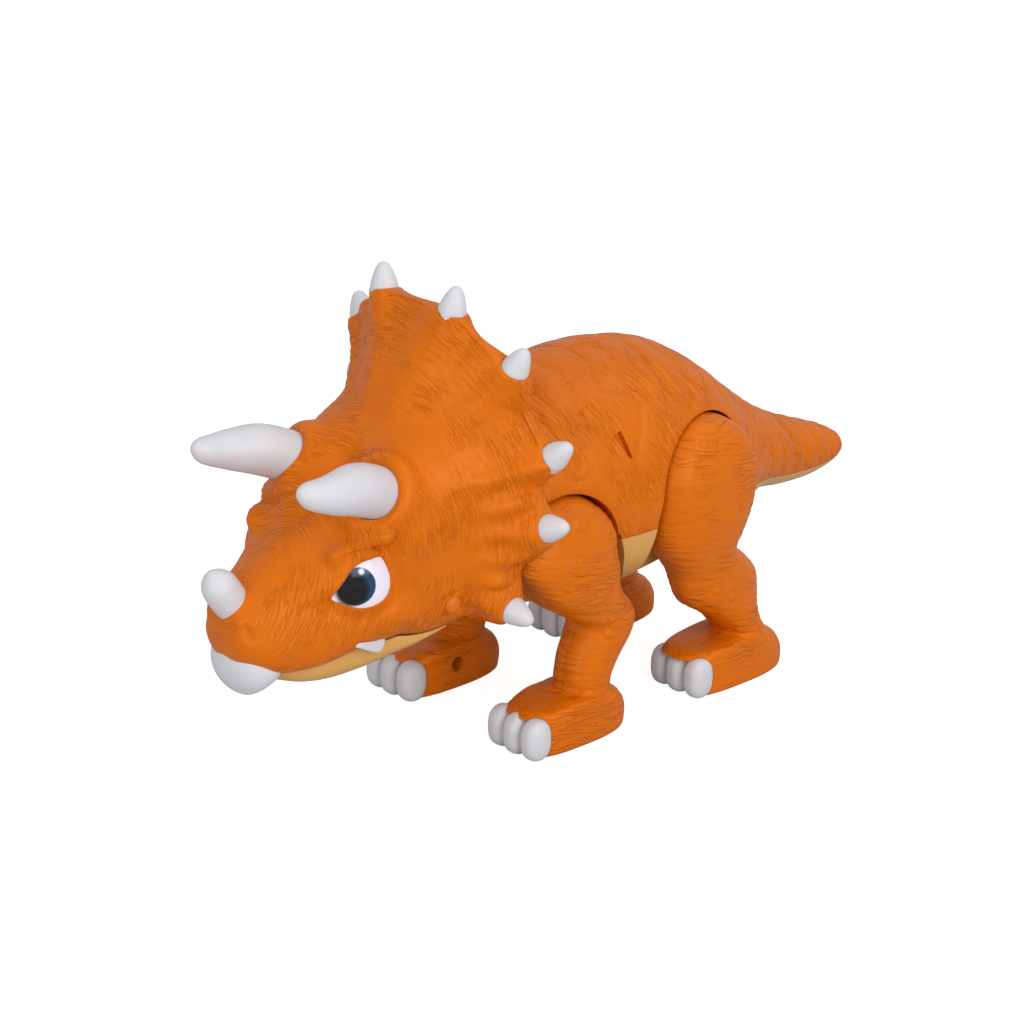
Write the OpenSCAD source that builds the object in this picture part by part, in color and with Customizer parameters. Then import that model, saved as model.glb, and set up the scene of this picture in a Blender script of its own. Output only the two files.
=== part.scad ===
// Walking triceratops toy: moulded shells over a motor, crank and four levered legs.
// Millimetres, +Z up, the animal faces -Y, soles on Z = 0.

/* [Body] */
// Wall of the moulded body shells
wall = 2.2; // [1.8:0.1:2.6]
// Angle from the top of the body down to the seam of the cream belly
belly_angle = 110; // [106:1:114]
// Length of the slot in the left flank
flank_slot_l = 9; // [6:0.5:12]
// Clearance all round the battery door
door_gap = 0.25; // [0.15:0.05:0.5]

/* [Head] */
// Wall of the head shell
head_wall = 2.6; // [2.2:0.1:3.2]
// Radius of the eye
eye_r = 9.4; // [8.5:0.1:10]
// Radius of the base of a brow horn
brow_horn_r = 9.6; // [8.8:0.1:10.2]
// Length of a frill spike beyond its seat
spike_l = 9.5; // [8:0.5:12]
// Clearance between the jaw and the upper lip
lip_gap = 0.5; // [0.3:0.1:1.2]

/* [Legs] */
// Distance of the middle of each leg from the centre plane
leg_x = 35.5; // [35.5:0.25:37]
// Swing of each leg either way
leg_swing = 8; // [5:1:9]
// Clearance between a leg and the pocket that it swings in
pocket_gap = 0.9; // [0.7:0.1:1.4]
// Radius of the hub on which a leg turns
hub_r = 7; // [6:0.25:8]

/* [Drive] */
// Radius of the steel axles of the legs
axle_r = 1.5; // [1.2:0.1:2]
// Running clearance on a radius
run = 0.08; // [0.05:0.01:0.1]
// Thickness of a gearbox plate
plate_t = 2; // [1.6:0.1:2.4]

/* [Hidden] */
eps = 0.01;

// Sections along the body: y, axis z, then radii at 0, 45, 90, 135 and 180 degrees from the top
BODY_ROWS = [
  [-84, 97, 22, 22, 21, 22, 23],
  [-71, 95, 26, 26, 27, 27, 27],
  [-58, 93, 32, 33, 35, 36, 36],
  [-42, 91, 37, 39, 40, 43, 43],
  [-20, 90, 44.2, 43.2, 42.6, 46.6, 45],
  [2, 90, 46, 45, 44, 48.4, 46],
  [24, 90, 45.5, 45.3, 44.8, 47.6, 46],
  [44, 90, 42, 43, 43.2, 45, 43],
  [62, 87, 35.5, 37, 39, 39, 36],
  [80, 80, 28.5, 29, 30, 29, 26],
  [97, 74, 22, 22.5, 23, 19, 16],
  [114, 69, 17, 17.5, 18, 15.5, 13],
  [131, 66, 12.5, 13.5, 14.5, 13, 11.5],
  [145, 64, 9, 10, 11, 9.5, 9],
  [153, 63.5, 5, 6, 7, 6, 5.5],
  [156, 63.5, 1, 1, 1, 1, 1]
];

// Sections along the skull: y, axis z, then radii every 30 degrees from the top to the palate
SKULL_ROWS = [
  [-158, 67.5, 3, 3, 3, 3.5, 4, 4, 3.5],
  [-156.5, 68.2, 8.6, 8.8, 9, 10, 11, 11.2, 10],
  [-152.5, 69.3, 11, 11.8, 13, 14.5, 17, 16, 13.6],
  [-147, 70.3, 13, 14.5, 16.5, 18, 21.5, 19, 16],
  [-138, 72, 17, 18, 20, 21, 25, 20.2, 18],
  [-126, 76, 22, 23, 26, 25.5, 29.4, 23.6, 21],
  [-117, 80, 23, 34, 32, 28, 32.4, 26.6, 24],
  [-107, 83, 26, 42, 38, 31, 36, 30.5, 26],
  [-99, 85, 27, 40, 40, 34, 38, 31, 26.5]
];
head_z = 88;
// Root of the frill round the skull: angle from the top, radius, y
ROOT = [
  [0, 30, -92], [30, 39, -90], [60, 40, -87], [90, 37.5, -81],
  [120, 38, -77], [150, 29, -76], [180, 25, -76]
];
// Edge of the frill: angle from the top, radius, y, thickness; a spike stands on each thick place
EDGE = [
  [0, 80, -69, 4.5], [12.7, 80.5, -71, 10], [22, 76, -65.5, 4.5], [33.3, 73, -62, 10],
  [45.6, 65.8, -56.5, 4.5], [58.6, 62, -54, 10], [68, 52, -53.5, 4.5], [83.4, 53, -56.5, 10],
  [105, 45.5, -59.5, 4.5], [119.6, 51, -65, 10], [136, 44, -67, 4.5], [152, 30, -72, 4], [180, 25, -73, 4]
];
// Angles at which the head is drawn, closer together round each spike
HEAD_ANGLES = [
  0, 5, 9, 12.7, 16.5, 22, 29.3, 33.3, 37.3, 45.6, 54.4, 58.6, 62.8, 68, 78.4, 83.4, 88.4, 96, 105, 114,
  119.6, 125, 136, 146, 158, 170, 180
];

// Sections down a leg: z, axis y, reach to the front, to the side and to the back, squareness
HIND_ROWS = [
  [110.9, 41.5, 1.5, 1.5, 1.5, 2],
  [108.7, 41.5, 10.2, 8, 10.2, 2.2],
  [102, 41.5, 19, 12.5, 19, 2.8],
  [93, 41.5, 23.8, 14.8, 23.8, 3.2],
  [84, 41.5, 24.8, 15.2, 24.6, 3.2],
  [75, 41.5, 25.3, 15, 23.5, 3],
  [68, 41.5, 24.6, 14.4, 21.3, 2.8],
  [62, 41.5, 21.6, 13.6, 19.4, 2.6],
  [56, 42.3, 17.6, 12.8, 16, 2.4],
  [50, 46, 17.3, 12, 18.5, 2.3],
  [43, 50, 19.2, 11.6, 20.7, 2.2],
  [36, 53, 18.5, 11.2, 19, 2.2],
  [29, 58, 13.6, 10.8, 14, 2.2],
  [23, 62, 10.7, 10.8, 11, 2.2],
  [18.5, 63.5, 9.5, 11.4, 11.5, 2.2],
  [16.6, 56, 22, 13, 19.5, 2.6],
  [14, 54, 26, 13.4, 26, 2.8],
  [8, 54, 26.5, 13.4, 30, 2.8],
  [1.5, 54, 26.5, 13.4, 30, 2.8],
  [0, 54, 25.5, 12.6, 28.5, 2.8]
];
FRONT_ROWS = [
  [96.9, -31, 1.5, 1.5, 1.5, 2],
  [94.7, -31, 10, 8, 10, 2.2],
  [88.5, -31, 18, 12.5, 18, 2.8],
  [80, -31, 22.8, 14.8, 22.8, 3.2],
  [73, -31, 23.6, 15.2, 23.8, 3.2],
  [66, -27.5, 20.5, 15, 22.3, 3],
  [60, -24.5, 19, 14.6, 19.5, 2.8],
  [54, -20, 17.7, 13.8, 17.5, 2.5],
  [48.5, -13.6, 15.9, 12.8, 15.9, 2.3],
  [43, -9, 12.5, 12.2, 13.7, 2.2],
  [37, -10.3, 13.5, 11.6, 13.6, 2.2],
  [30, -14, 12.8, 11, 13, 2.2],
  [23, -17.2, 10.9, 10.8, 10.9, 2.2],
  [18.5, -18.8, 10.8, 11.2, 11, 2.2],
  [16.4, -25, 20.5, 13, 16.5, 2.6],
  [14, -28, 24.5, 13.4, 24, 2.8],
  [8, -29, 24.5, 13.4, 28.5, 2.8],
  [1.5, -29, 24.5, 13.4, 28, 2.8],
  [0, -29, 23.5, 12.6, 26.5, 2.8]
];
hind_pivot = [41.5, 86];
front_pivot = [-31, 73];
hind_hip_r = 25;
front_hip_r = 24;
pocket_x = 21.6;
floor_t = 2.6;

crank_at = (hind_pivot + front_pivot) / 2;
lever_reach = norm(hind_pivot - front_pivot) / 2;
lever_slope = atan2(hind_pivot[1] - front_pivot[1], hind_pivot[0] - front_pivot[0]);
lever_t = 2;
crank_pin_r = 2;
crank_r = lever_reach * sin(leg_swing);
plate_x = 6;

function cr(a, b, c, d, t) =
  b + 0.5 * t * (c - a + t * (2 * a - 5 * b + 4 * c - d + t * (3 * (b - c) + d - a)));
function at(list, i) = list[max(0, min(len(list) - 1, i))];
function along(list, s) = let (i = min(len(list) - 2, floor(s)))
  cr(at(list, i - 1), at(list, i), at(list, i + 1), at(list, i + 2), s - i);
// Radius of a section that is the same on both sides, at an angle from its first direction
function section_r(row, angle) = let (
    n = len(row) - 3,
    s = (abs(angle) > 180 ? 360 - abs(angle) : abs(angle)) * n / 180,
    i = min(n - 1, floor(s)),
    r = function (k) row[2 + (k < 0 ? -k : k > n ? 2 * n - k : k)])
  cr(r(i - 1), r(i), r(i + 1), r(i + 2), s - i);
// Value of a column of a keyed list at an angle, level at each key
function keyed(list, column, angle) = let (
    a = abs(angle),
    i = max([for (k = [0:len(list) - 2]) a >= list[k][0] ? k : 0]),
    t = (a - list[i][0]) / (list[i + 1][0] - list[i][0]),
    w = (1 - cos(180 * t)) / 2)
  list[i][column] * (1 - w) + list[i + 1][column] * w;
// Value of a column of a keyed list at an angle, straight between keys
function straight(list, column, angle) = lookup(abs(angle), [for (k = list) [k[0], k[column]]]);

// Closed skin over rings of the same number of points
module skin(rings, flip = false) {
  n = len(rings[0]);
  m = len(rings);
  cap_a = [for (k = [0:n - 1]) k];
  cap_b = [for (k = [n - 1:-1:0]) (m - 1) * n + k];
  sides = [
    for (j = [0:m - 2]) for (k = [0:n - 1])
      let (p = j * n + k, q = j * n + (k + 1) % n)
        each flip ? [[p, q + n, q], [p, p + n, q + n]] : [[p, p + n, q], [q, p + n, q + n]]
  ];
  polyhedron([for (r = rings) each r], concat([cap_a], sides, [cap_b]), convexity = 6);
}

function body_point(row, angle, inset) =
  let (r = section_r(row, angle) - inset) [r * sin(angle), row[0], row[1] + r * cos(angle)];
function body_row(j, m) = along(BODY_ROWS, j * (len(BODY_ROWS) - 1) / m);

// Slice of the body between two angles from the top
module body_sector(a0, a1, n, m = 30, flip = false) {
  skin([for (j = [0:m]) let (row = body_row(j, m)) concat(
      [[0, row[0], row[1]]],
      [for (k = [0:n]) body_point(row, a0 + (a1 - a0) * k / n, 0)])], flip);
}
// Space inside the body shells
module body_space(n = 24, m = 15) {
  last = len(BODY_ROWS) - 3;
  skin([for (j = [0:m]) let (row = along(BODY_ROWS, j * last / m))
    [for (k = [0:n - 1]) body_point(row, 360 * k / n, wall)]]);
}

// Way down for a thigh below its hip disc, before it and behind it
FRONT_FORE = [[-56.5, 20]];
FRONT_AFT = [[16.8, 20], [14.8, 36], [7.8, 50], [0.5, 61], [-2.8, 70], [-4.4, 73.5], [-5.6, 77], [-9, 76]];
HIND_FORE = [[13, 74], [12.5, 66], [14, 20]];
HIND_AFT = [[82, 20], [77, 40], [71, 58]];
// Outline that a leg sweeps, seen along the axle
module pocket_outline(pivot, hip_r, fore, aft, grow) {
  reach = hip_r + pocket_gap + grow;
  translate(pivot)
    circle(reach);
  polygon(concat(
    [pivot + [reach, 0], pivot + [-reach, 0]],
    [for (p = fore) p - [grow, 0]],
    [for (p = aft) p + [grow, 0]]));
}
module leg_pockets(grow = 0, floor_grow = 0) {
  for (side = [0, 1])
    mirror([side, 0, 0])
      translate([pocket_x - floor_grow, 0, 0])
        rotate([90, 0, 90])
          linear_extrude(60) {
            pocket_outline(front_pivot, front_hip_r, FRONT_FORE, FRONT_AFT, grow);
            pocket_outline(hind_pivot, hind_hip_r, HIND_FORE, HIND_AFT, grow);
          }
}
module along_x(x, l, at_yz, r) {
  translate([x, at_yz[0], at_yz[1]])
    rotate([0, 90, 0])
      cylinder(r = r, h = l);
}
SCREWS = [[-45, 113], [12, 127], [74, 104], [104, 79], [131, 71]];
module shell_posts() {
  for (p = SCREWS)
    along_x(-60, 120, p, 3.6);
}
module neck_wall() {
  translate([-60, -85, 40])
    cube([120, 4, 120]);
}
// Hollow of the body: the space less the pocket walls, the screw posts and the wall at the neck
module body_hollow() {
  difference() {
    body_space();
    leg_pockets(wall, floor_t);
    shell_posts();
    neck_wall();
  }
}
module neck_bore() {
  translate([0, -90, 95])
    rotate([-90, 0, 0])
      cylinder(r = 10, h = 14);
}
module hub_bores() {
  for (p = [front_pivot, hind_pivot])
    for (x = [-30, 10])
      along_x(x, 20, p, hub_r + run);
}
module body_half() {
  difference() {
    body_sector(0, belly_angle, 11);
    body_hollow();
    leg_pockets();
    neck_bore();
    hub_bores();
  }
}

module body_left_shell() {
  color([0.86, 0.43, 0.10])
    difference() {
      body_half();
      for (p = SCREWS)
        along_x(-eps, 9, p, 1.3);
      translate([42, -5.5, 112])
        rotate([32, 0, 0])
          cube([16, 2, flank_slot_l], center = true);
    }
}
module body_right_shell() {
  color([0.86, 0.43, 0.10])
    difference() {
      mirror([1, 0, 0])
        body_half();
      for (p = SCREWS) {
        along_x(-60, 61, p, 1.6);
        along_x(-60, 55, p, 2.9);
      }
    }
}

// Two cells side by side, between a spring and a plate at each end
cell_r = 7.25;
cell_l = 50.5;
cell_y = -24;
cell_z = 55.6;
spring_l = 3.9;
nub_l = 2.6;
contact_t = 0.5;
box_top = 65;
box_wall = 1.6;
cells_side = 15.6;
screw_block = 8.4;
cells_front = cell_y - spring_l - contact_t;
cells_back = cell_y + cell_l + nub_l + contact_t;
cells_l = cells_back - cells_front;

// Cream belly from the chest to the tip of the tail, with the battery opening
door_box = [15, cells_front + 2.4, cells_back + 7.4];
module door_opening(gap) {
  translate([-door_box[0] + gap, door_box[1] + gap, 30])
    cube([2 * (door_box[0] - gap), door_box[2] - door_box[1] - 2 * gap, 25]);
}
module belly_wall() {
  difference() {
    body_sector(belly_angle, 360 - belly_angle, 14, 30, true);
    body_hollow();
    leg_pockets();
    neck_bore();
    hub_bores();
  }
}
knob_y = 60.2;
knob_travel = 5;
module belly_pan() {
  color([0.84, 0.65, 0.39])
    difference() {
      belly_wall();
      door_opening(0);
      translate([-2.2, knob_y - 2.7, 40])
        cube([4.4, knob_travel + 5.4, 20]);
    }
}
door_screw_y = cells_back + 4;
door_screw_r = 1.3;
module battery_door() {
  color([0.84, 0.65, 0.39])
    difference() {
      intersection() {
        belly_wall();
        door_opening(door_gap);
      }
      translate([0, door_screw_y, 30])
        cylinder(r = door_screw_r, h = 30);
      translate([0, door_screw_y, 30])
        cylinder(r = 3.2, h = 15.6);
    }
}
module door_screw() {
  color([0.7, 0.7, 0.72]) {
    translate([0, door_screw_y, 44.1])
      cylinder(r = 3, h = 1.5);
    translate([0, door_screw_y, 45.6])
      cylinder(r = door_screw_r, h = 12);
  }
}

// Battery box on the belly, trimmed to the inside of the belly wall
module battery_box() {
  color([0.15, 0.15, 0.16])
    difference() {
      intersection() {
        body_space();
        translate([-cells_side - box_wall, cells_front - box_wall, 40])
          cube([2 * (cells_side + box_wall), cells_l + box_wall + screw_block, box_top - 40]);
      }
      translate([-cells_side, cells_front, 30])
        cube([2 * cells_side, cells_l, box_top - box_wall - 30]);
      translate([0, door_screw_y, 30])
        cylinder(r = door_screw_r, h = 28);
    }
}
module batteries() {
  color([0.75, 0.6, 0.25])
    for (side = [-1, 1])
      translate([side * 7.4, cell_y, cell_z])
        rotate([-90, 0, 0])
          cylinder(r = cell_r, h = cell_l);
}
module battery_contacts() {
  color([0.8, 0.8, 0.82])
    for (side = [-1, 1])
      translate([side * 7.4, 0, cell_z]) {
        translate([-5, cells_front, -5])
          cube([10, contact_t, 10]);
        translate([0, cell_y, 0])
          rotate([90, 0, 0])
            cylinder(r1 = 2.5, r2 = 4.5, h = spring_l);
        translate([-5, cells_back - contact_t, -5])
          cube([10, contact_t, 10]);
        translate([0, cell_y + cell_l, 0])
          rotate([-90, 0, 0])
            cylinder(r = 2.5, h = nub_l);
      }
}

// Slide switch behind the belly, its knob below
module switch_body() {
  color([0.2, 0.2, 0.2])
    difference() {
      intersection() {
        body_space();
        translate([-6, 53, 40])
          cube([12, 19.4, 20]);
      }
      translate([-3.2, knob_y - 4.2, 30])
        cube([6.4, knob_travel + 8.4, 26.5]);
    }
}
module switch_knob() {
  color([0.12, 0.12, 0.12])
    translate([0, knob_y, 0]) {
      translate([-1.8, -2, 47])
        cube([3.6, 4, 8]);
      translate([-2.9, -3.2, 55])
        cube([5.8, 6.4, 1.2]);
    }
}

// Screws that hold the right shell to the left one
module body_screws() {
  color([0.7, 0.7, 0.72])
    for (p = SCREWS) {
      along_x(-7, 2, p, 2.7);
      along_x(-5, 13.5, p, 1.3);
    }
}

// Gear drawn by its pitch radius, with a tooth on the given angle
module gear_outline(teeth, mod, turn) {
  pitch_r = teeth * mod / 2;
  step = 360 / teeth;
  polygon([
    for (k = [0:teeth - 1])
      let (a = turn + k * step)
        for (c = [[-1.15, -0.29], [0.8, -0.11], [0.8, 0.11], [-1.15, 0.29]])
          (pitch_r + c[0] * mod) * [cos(a + c[1] * step), sin(a + c[1] * step)]
  ]);
}
module gear(x, h, centre, teeth, mod, turn, bore) {
  translate([x, centre[0], centre[1]])
    rotate([90, 0, 90])
      linear_extrude(h)
        difference() {
          gear_outline(teeth, mod, turn);
          circle(bore);
        }
}
function polar2(r, a) = r * [cos(a), sin(a)];
crank_teeth = 40;
wheel_teeth = 36;
pinion_teeth = 10;
crank_mod = 0.66;
b_mod = 0.6;
a_mod = 0.5;
to_b = 60;
to_a = 118;
to_motor = 180;
b_at = crank_at + polar2((crank_teeth + pinion_teeth) * crank_mod / 2, to_b);
a_at = b_at + polar2((wheel_teeth + pinion_teeth) * b_mod / 2, to_a);
motor_at = a_at + polar2((wheel_teeth + pinion_teeth) * a_mod / 2, to_motor);
half_tooth = 180 / pinion_teeth;
gear_pin_r = 1;

module crank_gear() {
  color([0.9, 0.9, 0.85])
    gear(-5, 2.4, crank_at, crank_teeth, crank_mod, to_b, axle_r);
}
module crank_axle() {
  color([0.75, 0.75, 0.78])
    along_x(-12.4, 24.8, crank_at, axle_r);
}
module crank_disc(side) {
  pin_at = crank_at + side * polar2(crank_r, lever_slope);
  x = side > 0 ? 9 : -12.4;
  difference() {
    along_x(x, 3.4, crank_at, crank_r + crank_pin_r + 1.6);
    along_x(x - 1, 6, crank_at, axle_r);
  }
  along_x(side > 0 ? 12.4 : -13.6, 1.2, pin_at, crank_pin_r);
}
module crank_disc_left() {
  color([0.9, 0.9, 0.85])
    crank_disc(1);
}
module crank_disc_right() {
  color([0.9, 0.9, 0.85])
    crank_disc(-1);
}
module reduction_gear_b() {
  color([0.85, 0.85, 0.8]) {
    gear(-5.2, 3.6, b_at, pinion_teeth, crank_mod, to_b + 180 + half_tooth, gear_pin_r + run);
    gear(-1.6, 2.2, b_at, wheel_teeth, b_mod, to_a, gear_pin_r + run);
  }
}
module reduction_gear_a() {
  color([0.85, 0.85, 0.8]) {
    gear(-1.8, 3.2, a_at, pinion_teeth, b_mod, to_a + 180 + half_tooth, gear_pin_r + run);
    gear(1.4, 2, a_at, wheel_teeth, a_mod, to_motor, gear_pin_r + run);
  }
}
module motor_pinion() {
  color([0.8, 0.68, 0.35])
    gear(1.2, 2.6, motor_at, pinion_teeth, a_mod, to_motor + 180 + half_tooth, 1);
}
motor_shaft_r = 1;
module motor() {
  color([0.7, 0.72, 0.74])
    difference() {
      union() {
        intersection() {
          along_x(plate_x + plate_t, 24, motor_at, 10);
          translate([0, motor_at[0] - 20, motor_at[1] - 7.5])
            cube([60, 40, 15]);
        }
        along_x(plate_x, plate_t + 1, motor_at, 3);
      }
      along_x(0, 19, motor_at, motor_shaft_r + run);
    }
}
module motor_shaft() {
  color([0.75, 0.75, 0.78])
    along_x(0.6, 18, motor_at, motor_shaft_r);
}
module gear_pins() {
  color([0.75, 0.75, 0.78])
    for (p = [a_at, b_at])
      along_x(-plate_x - plate_t, 2 * (plate_x + plate_t), p, gear_pin_r);
}
module plate_outline() {
  translate(front_pivot)
    circle(5);
  translate(hind_pivot)
    circle(5);
  polygon([
    front_pivot + [0, -5], [-14, box_top], [34, box_top], hind_pivot + [1, -5],
    hind_pivot + [0, 5], [34, 104], [26, 118], [-6, 118], [-14, 112], [-14, 88], front_pivot + [0, 5]
  ]);
}
module gearbox_plate(x) {
  translate([x, 0, 0])
    rotate([90, 0, 90])
      linear_extrude(plate_t)
        difference() {
          plate_outline();
          for (p = [front_pivot, hind_pivot])
            translate(p)
              circle(axle_r);
          translate(crank_at)
            circle(axle_r + run);
          for (p = [a_at, b_at])
            translate(p)
              circle(gear_pin_r);
          translate(motor_at)
            circle(3);
        }
}
module gearbox_left_plate() {
  color([0.2, 0.2, 0.22])
    gearbox_plate(plate_x);
}
module gearbox_right_plate() {
  color([0.2, 0.2, 0.22])
    gearbox_plate(-plate_x - plate_t);
}
module leg_axle(pivot) {
  color([0.75, 0.75, 0.78])
    along_x(-31, 62, pivot, axle_r);
}
module front_axle() {
  leg_axle(front_pivot);
}
module hind_axle() {
  leg_axle(hind_pivot);
}
module circuit_board() {
  color([0.1, 0.4, 0.2]) {
    translate([-8, -15.6, 92])
      cube([16, 1.6, 17]);
    translate([-4, -17, 96])
      cube([8, 1.4, 8]);
  }
}
module speaker() {
  color([0.18, 0.18, 0.18])
    translate([-plate_x - plate_t, 2, 106])
      rotate([0, -90, 0])
        rotate_extrude()
          polygon([[0, 0], [6, 0], [6, 3], [12.5, 4.5], [12.5, 6], [11.5, 6], [5, 5], [0, 5.5]]);
}

// Half of a leg, outside or inside its middle plane; the inside stays clear of the body
inside_max = 13.2;
function leg_r(row, side, a) = let (
    fore = a < 90 ? row[2] : row[4],
    wide = side > 0 ? row[3] : min(row[3], inside_max))
  pow(pow(abs(cos(a)) / fore, row[5]) + pow(sin(a) / wide, row[5]), -1 / row[5]);
LEG_ANGLES = [0, 16, 30, 44, 64, 90, 116, 136, 150, 164, 180];
module leg_half(rows, side, m = 27) {
  rings = [for (j = [0:m]) let (row = along(rows, j * (len(rows) - 1) / m))
    [for (a = LEG_ANGLES) let (r = leg_r(row, side, a))
      [leg_x + side * r * sin(a), row[1] - r * cos(a), row[0]]]];
  skin(side > 0 ? [for (j = [m:-1:0]) rings[j]] : rings);
}
module toe_cut(toe_y) {
  translate([0, toe_y - 40, -1])
    cube([70, 40, 16.2]);
}
screw_r = 1.3;
module leg_outer(rows, toe_y, screws) {
  difference() {
    leg_half(rows, 1);
    toe_cut(toe_y);
    for (p = screws)
      along_x(leg_x - 1, 8, p, screw_r);
  }
}
// Inner half with the hub that turns in the body wall and the spigot that carries the lever
module leg_inner(rows, toe_y, screws, pivot, lever_x) {
  difference() {
    union() {
      leg_half(rows, -1);
      along_x(lever_x + lever_t + 0.2, leg_x - lever_x - lever_t - 8, pivot, hub_r);
      along_x(lever_x, 6, pivot, 4);
    }
    toe_cut(toe_y);
    along_x(0, 31.3, pivot, axle_r + run);
    for (p = screws) {
      along_x(leg_x - 20, 21, p, screw_r);
      along_x(leg_x - 20, 16, p, 3);
    }
  }
}
module leg_screws(screws) {
  for (p = screws) {
    along_x(leg_x - 6, 2, p, 2.8);
    along_x(leg_x - 4, 11, p, screw_r);
  }
}
claw_r = [4.55, 9.2, 7.7];
module claws(toe_y) {
  for (k = [-1, 0, 1])
    intersection() {
      translate([leg_x + 9.3 * k, toe_y + 1.6 * abs(k), 7.4])
        scale(claw_r)
          sphere(1);
      translate([0, toe_y - 40, 0])
        cube([70, 40, 30]);
    }
}
// Slotted lever on the hub of a leg, reaching to the crank
module lever(x, pivot, turn) {
  slot = crank_r + 0.4;
  translate([x, pivot[0], pivot[1]])
    rotate([90, 0, 90])
      linear_extrude(lever_t)
        rotate(turn)
          difference() {
            union() {
              circle(6.5);
              polygon([[0, -6.5], [lever_reach + slot, -5], [lever_reach + slot, 5], [0, 6.5]]);
              translate([lever_reach + slot, 0])
                circle(5);
            }
            circle(4);
            translate([lever_reach - slot, -crank_pin_r - 0.2])
              square([2 * slot, 2 * (crank_pin_r + 0.2)]);
            for (k = [-1, 1])
              translate([lever_reach + k * slot, 0])
                circle(crank_pin_r + 0.2);
          }
}
hind_toe = 34.5;
front_toe = -49.5;
HIND_SCREWS = [[55, 32], [58, 10]];
FRONT_SCREWS = [[-12, 40], [-29, 10]];
hind_lever_x = 14;
front_lever_x = 16.4;
module other_side() {
  mirror([1, 0, 0])
    children();
}
module orange() {
  color([0.86, 0.43, 0.10])
    children();
}
module white() {
  color([0.9, 0.89, 0.91])
    children();
}
module steel() {
  color([0.7, 0.7, 0.72])
    children();
}
module hind_lever() {
  lever(hind_lever_x, hind_pivot, lever_slope + 180);
}
module front_lever() {
  lever(front_lever_x, front_pivot, lever_slope);
}
module left_hind_leg_outer() { orange() leg_outer(HIND_ROWS, hind_toe, HIND_SCREWS); }
module left_hind_leg_inner() {
  orange()
    leg_inner(HIND_ROWS, hind_toe, HIND_SCREWS, hind_pivot, hind_lever_x);
}
module left_hind_claws() { white() claws(hind_toe); }
module left_hind_lever() { white() hind_lever(); }
module left_hind_leg_screws() { steel() leg_screws(HIND_SCREWS); }
module left_front_leg_outer() { orange() leg_outer(FRONT_ROWS, front_toe, FRONT_SCREWS); }
module left_front_leg_inner() {
  orange()
    leg_inner(FRONT_ROWS, front_toe, FRONT_SCREWS, front_pivot, front_lever_x);
}
module left_front_claws() { white() claws(front_toe); }
module left_front_lever() { white() front_lever(); }
module left_front_leg_screws() { steel() leg_screws(FRONT_SCREWS); }
module right_hind_leg_outer() { other_side() left_hind_leg_outer(); }
module right_hind_leg_inner() { other_side() left_hind_leg_inner(); }
module right_hind_claws() { other_side() left_hind_claws(); }
module right_hind_lever() { other_side() left_hind_lever(); }
module right_hind_leg_screws() { other_side() left_hind_leg_screws(); }
module right_front_leg_outer() { other_side() left_front_leg_outer(); }
module right_front_leg_inner() { other_side() left_front_leg_inner(); }
module right_front_claws() { other_side() left_front_claws(); }
module right_front_lever() { other_side() left_front_lever(); }
module right_front_leg_screws() { other_side() left_front_leg_screws(); }

// Head: skull and frill in one moulding, open at the back
function around(angles) = concat(angles, [for (k = [len(angles) - 2:-1:1]) -angles[k]]);
HEAD_ROUND = around(HEAD_ANGLES);
function polar(angle, r, y) = [r * sin(angle), y, head_z + r * cos(angle)];
function section_point(row, angle, r) = [r * sin(angle), row[0], row[1] + r * cos(angle)];
function skull_row(s) = along(SKULL_ROWS, s);
function skull_ring(s) = let (row = skull_row(s))
  [for (a = HEAD_ROUND) section_point(row, a, section_r(row, a))];
function root_point(a) = polar(a, straight(ROOT, 1, a), straight(ROOT, 2, a));
function edge_point(a) = polar(a, keyed(EDGE, 1, a), keyed(EDGE, 2, a));
function root_ring() = [for (a = HEAD_ROUND) root_point(a)];
function mix(p, q, t) = p * (1 - t) + q * t;
function frill_bow(a) = 4 * max(0, min(1, (abs(a) - 8) / 20)) * max(0, min(1, (120 - abs(a)) / 30));
function frill_point(a, t) = mix(root_point(a), edge_point(a), t) + [0, 4 * t * (1 - t) * frill_bow(a), 0];
function frill_ring(t) = [for (a = HEAD_ROUND) frill_point(a, t)];
// How far the back of the frill lies behind its front and inside it
function low(a) = max(0, min(1, (abs(a) - 112) / 28));
function back_point(a, t) = let (
    depth = mix(4.5, keyed(EDGE, 3, a), t * t * t) * (1 - 0.75 * low(a)),
    in = 0.8 + 2 * low(a),
    p = frill_point(a, t))
  [p[0] - in * sin(a), p[1] + depth, p[2] - in * cos(a)];
function back_ring(t) = [for (a = HEAD_ROUND) back_point(a, t)];
function rim_ring() = [for (a = HEAD_ROUND) let (p = mix(edge_point(a), back_point(a, 1), 0.5))
    [p[0] + 1.2 * sin(a), p[1], p[2] + 1.2 * cos(a)]];
function inner_r(row, a) = min(section_r(row, a) - head_wall, (row[2] + row[5]) / 2 + 1);
function skull_inner_ring(s) = let (row = skull_row(s))
  [for (a = HEAD_ROUND) section_point(row, a, inner_r(row, a))];
NECK_ROW = [-95, 86, 29, 33, 35, 34.5, 36, 30, 26];
function neck_ring() = [for (a = HEAD_ROUND) section_point(NECK_ROW, a, section_r(NECK_ROW, a) - head_wall)];
SPACE_STATIONS = [3, 4.5, 6, 7, 8];
module head_skin() {
  last = len(SKULL_ROWS) - 1;
  skin(concat(
    [for (j = [0:15]) skull_ring(j * last / 15)],
    [[for (k = [0:len(HEAD_ROUND) - 1]) mix(skull_ring(last)[k], root_ring()[k], 0.5)]],
    [for (t = [0, 0.2, 0.4, 0.6, 0.8, 0.92, 1]) frill_ring(t)],
    [rim_ring()],
    [for (t = [1, 0.8, 0.5, 0.2, 0]) back_ring(t)],
    [neck_ring()],
    [for (k = [len(SPACE_STATIONS) - 1:-1:0]) skull_inner_ring(SPACE_STATIONS[k])]));
}
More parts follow.
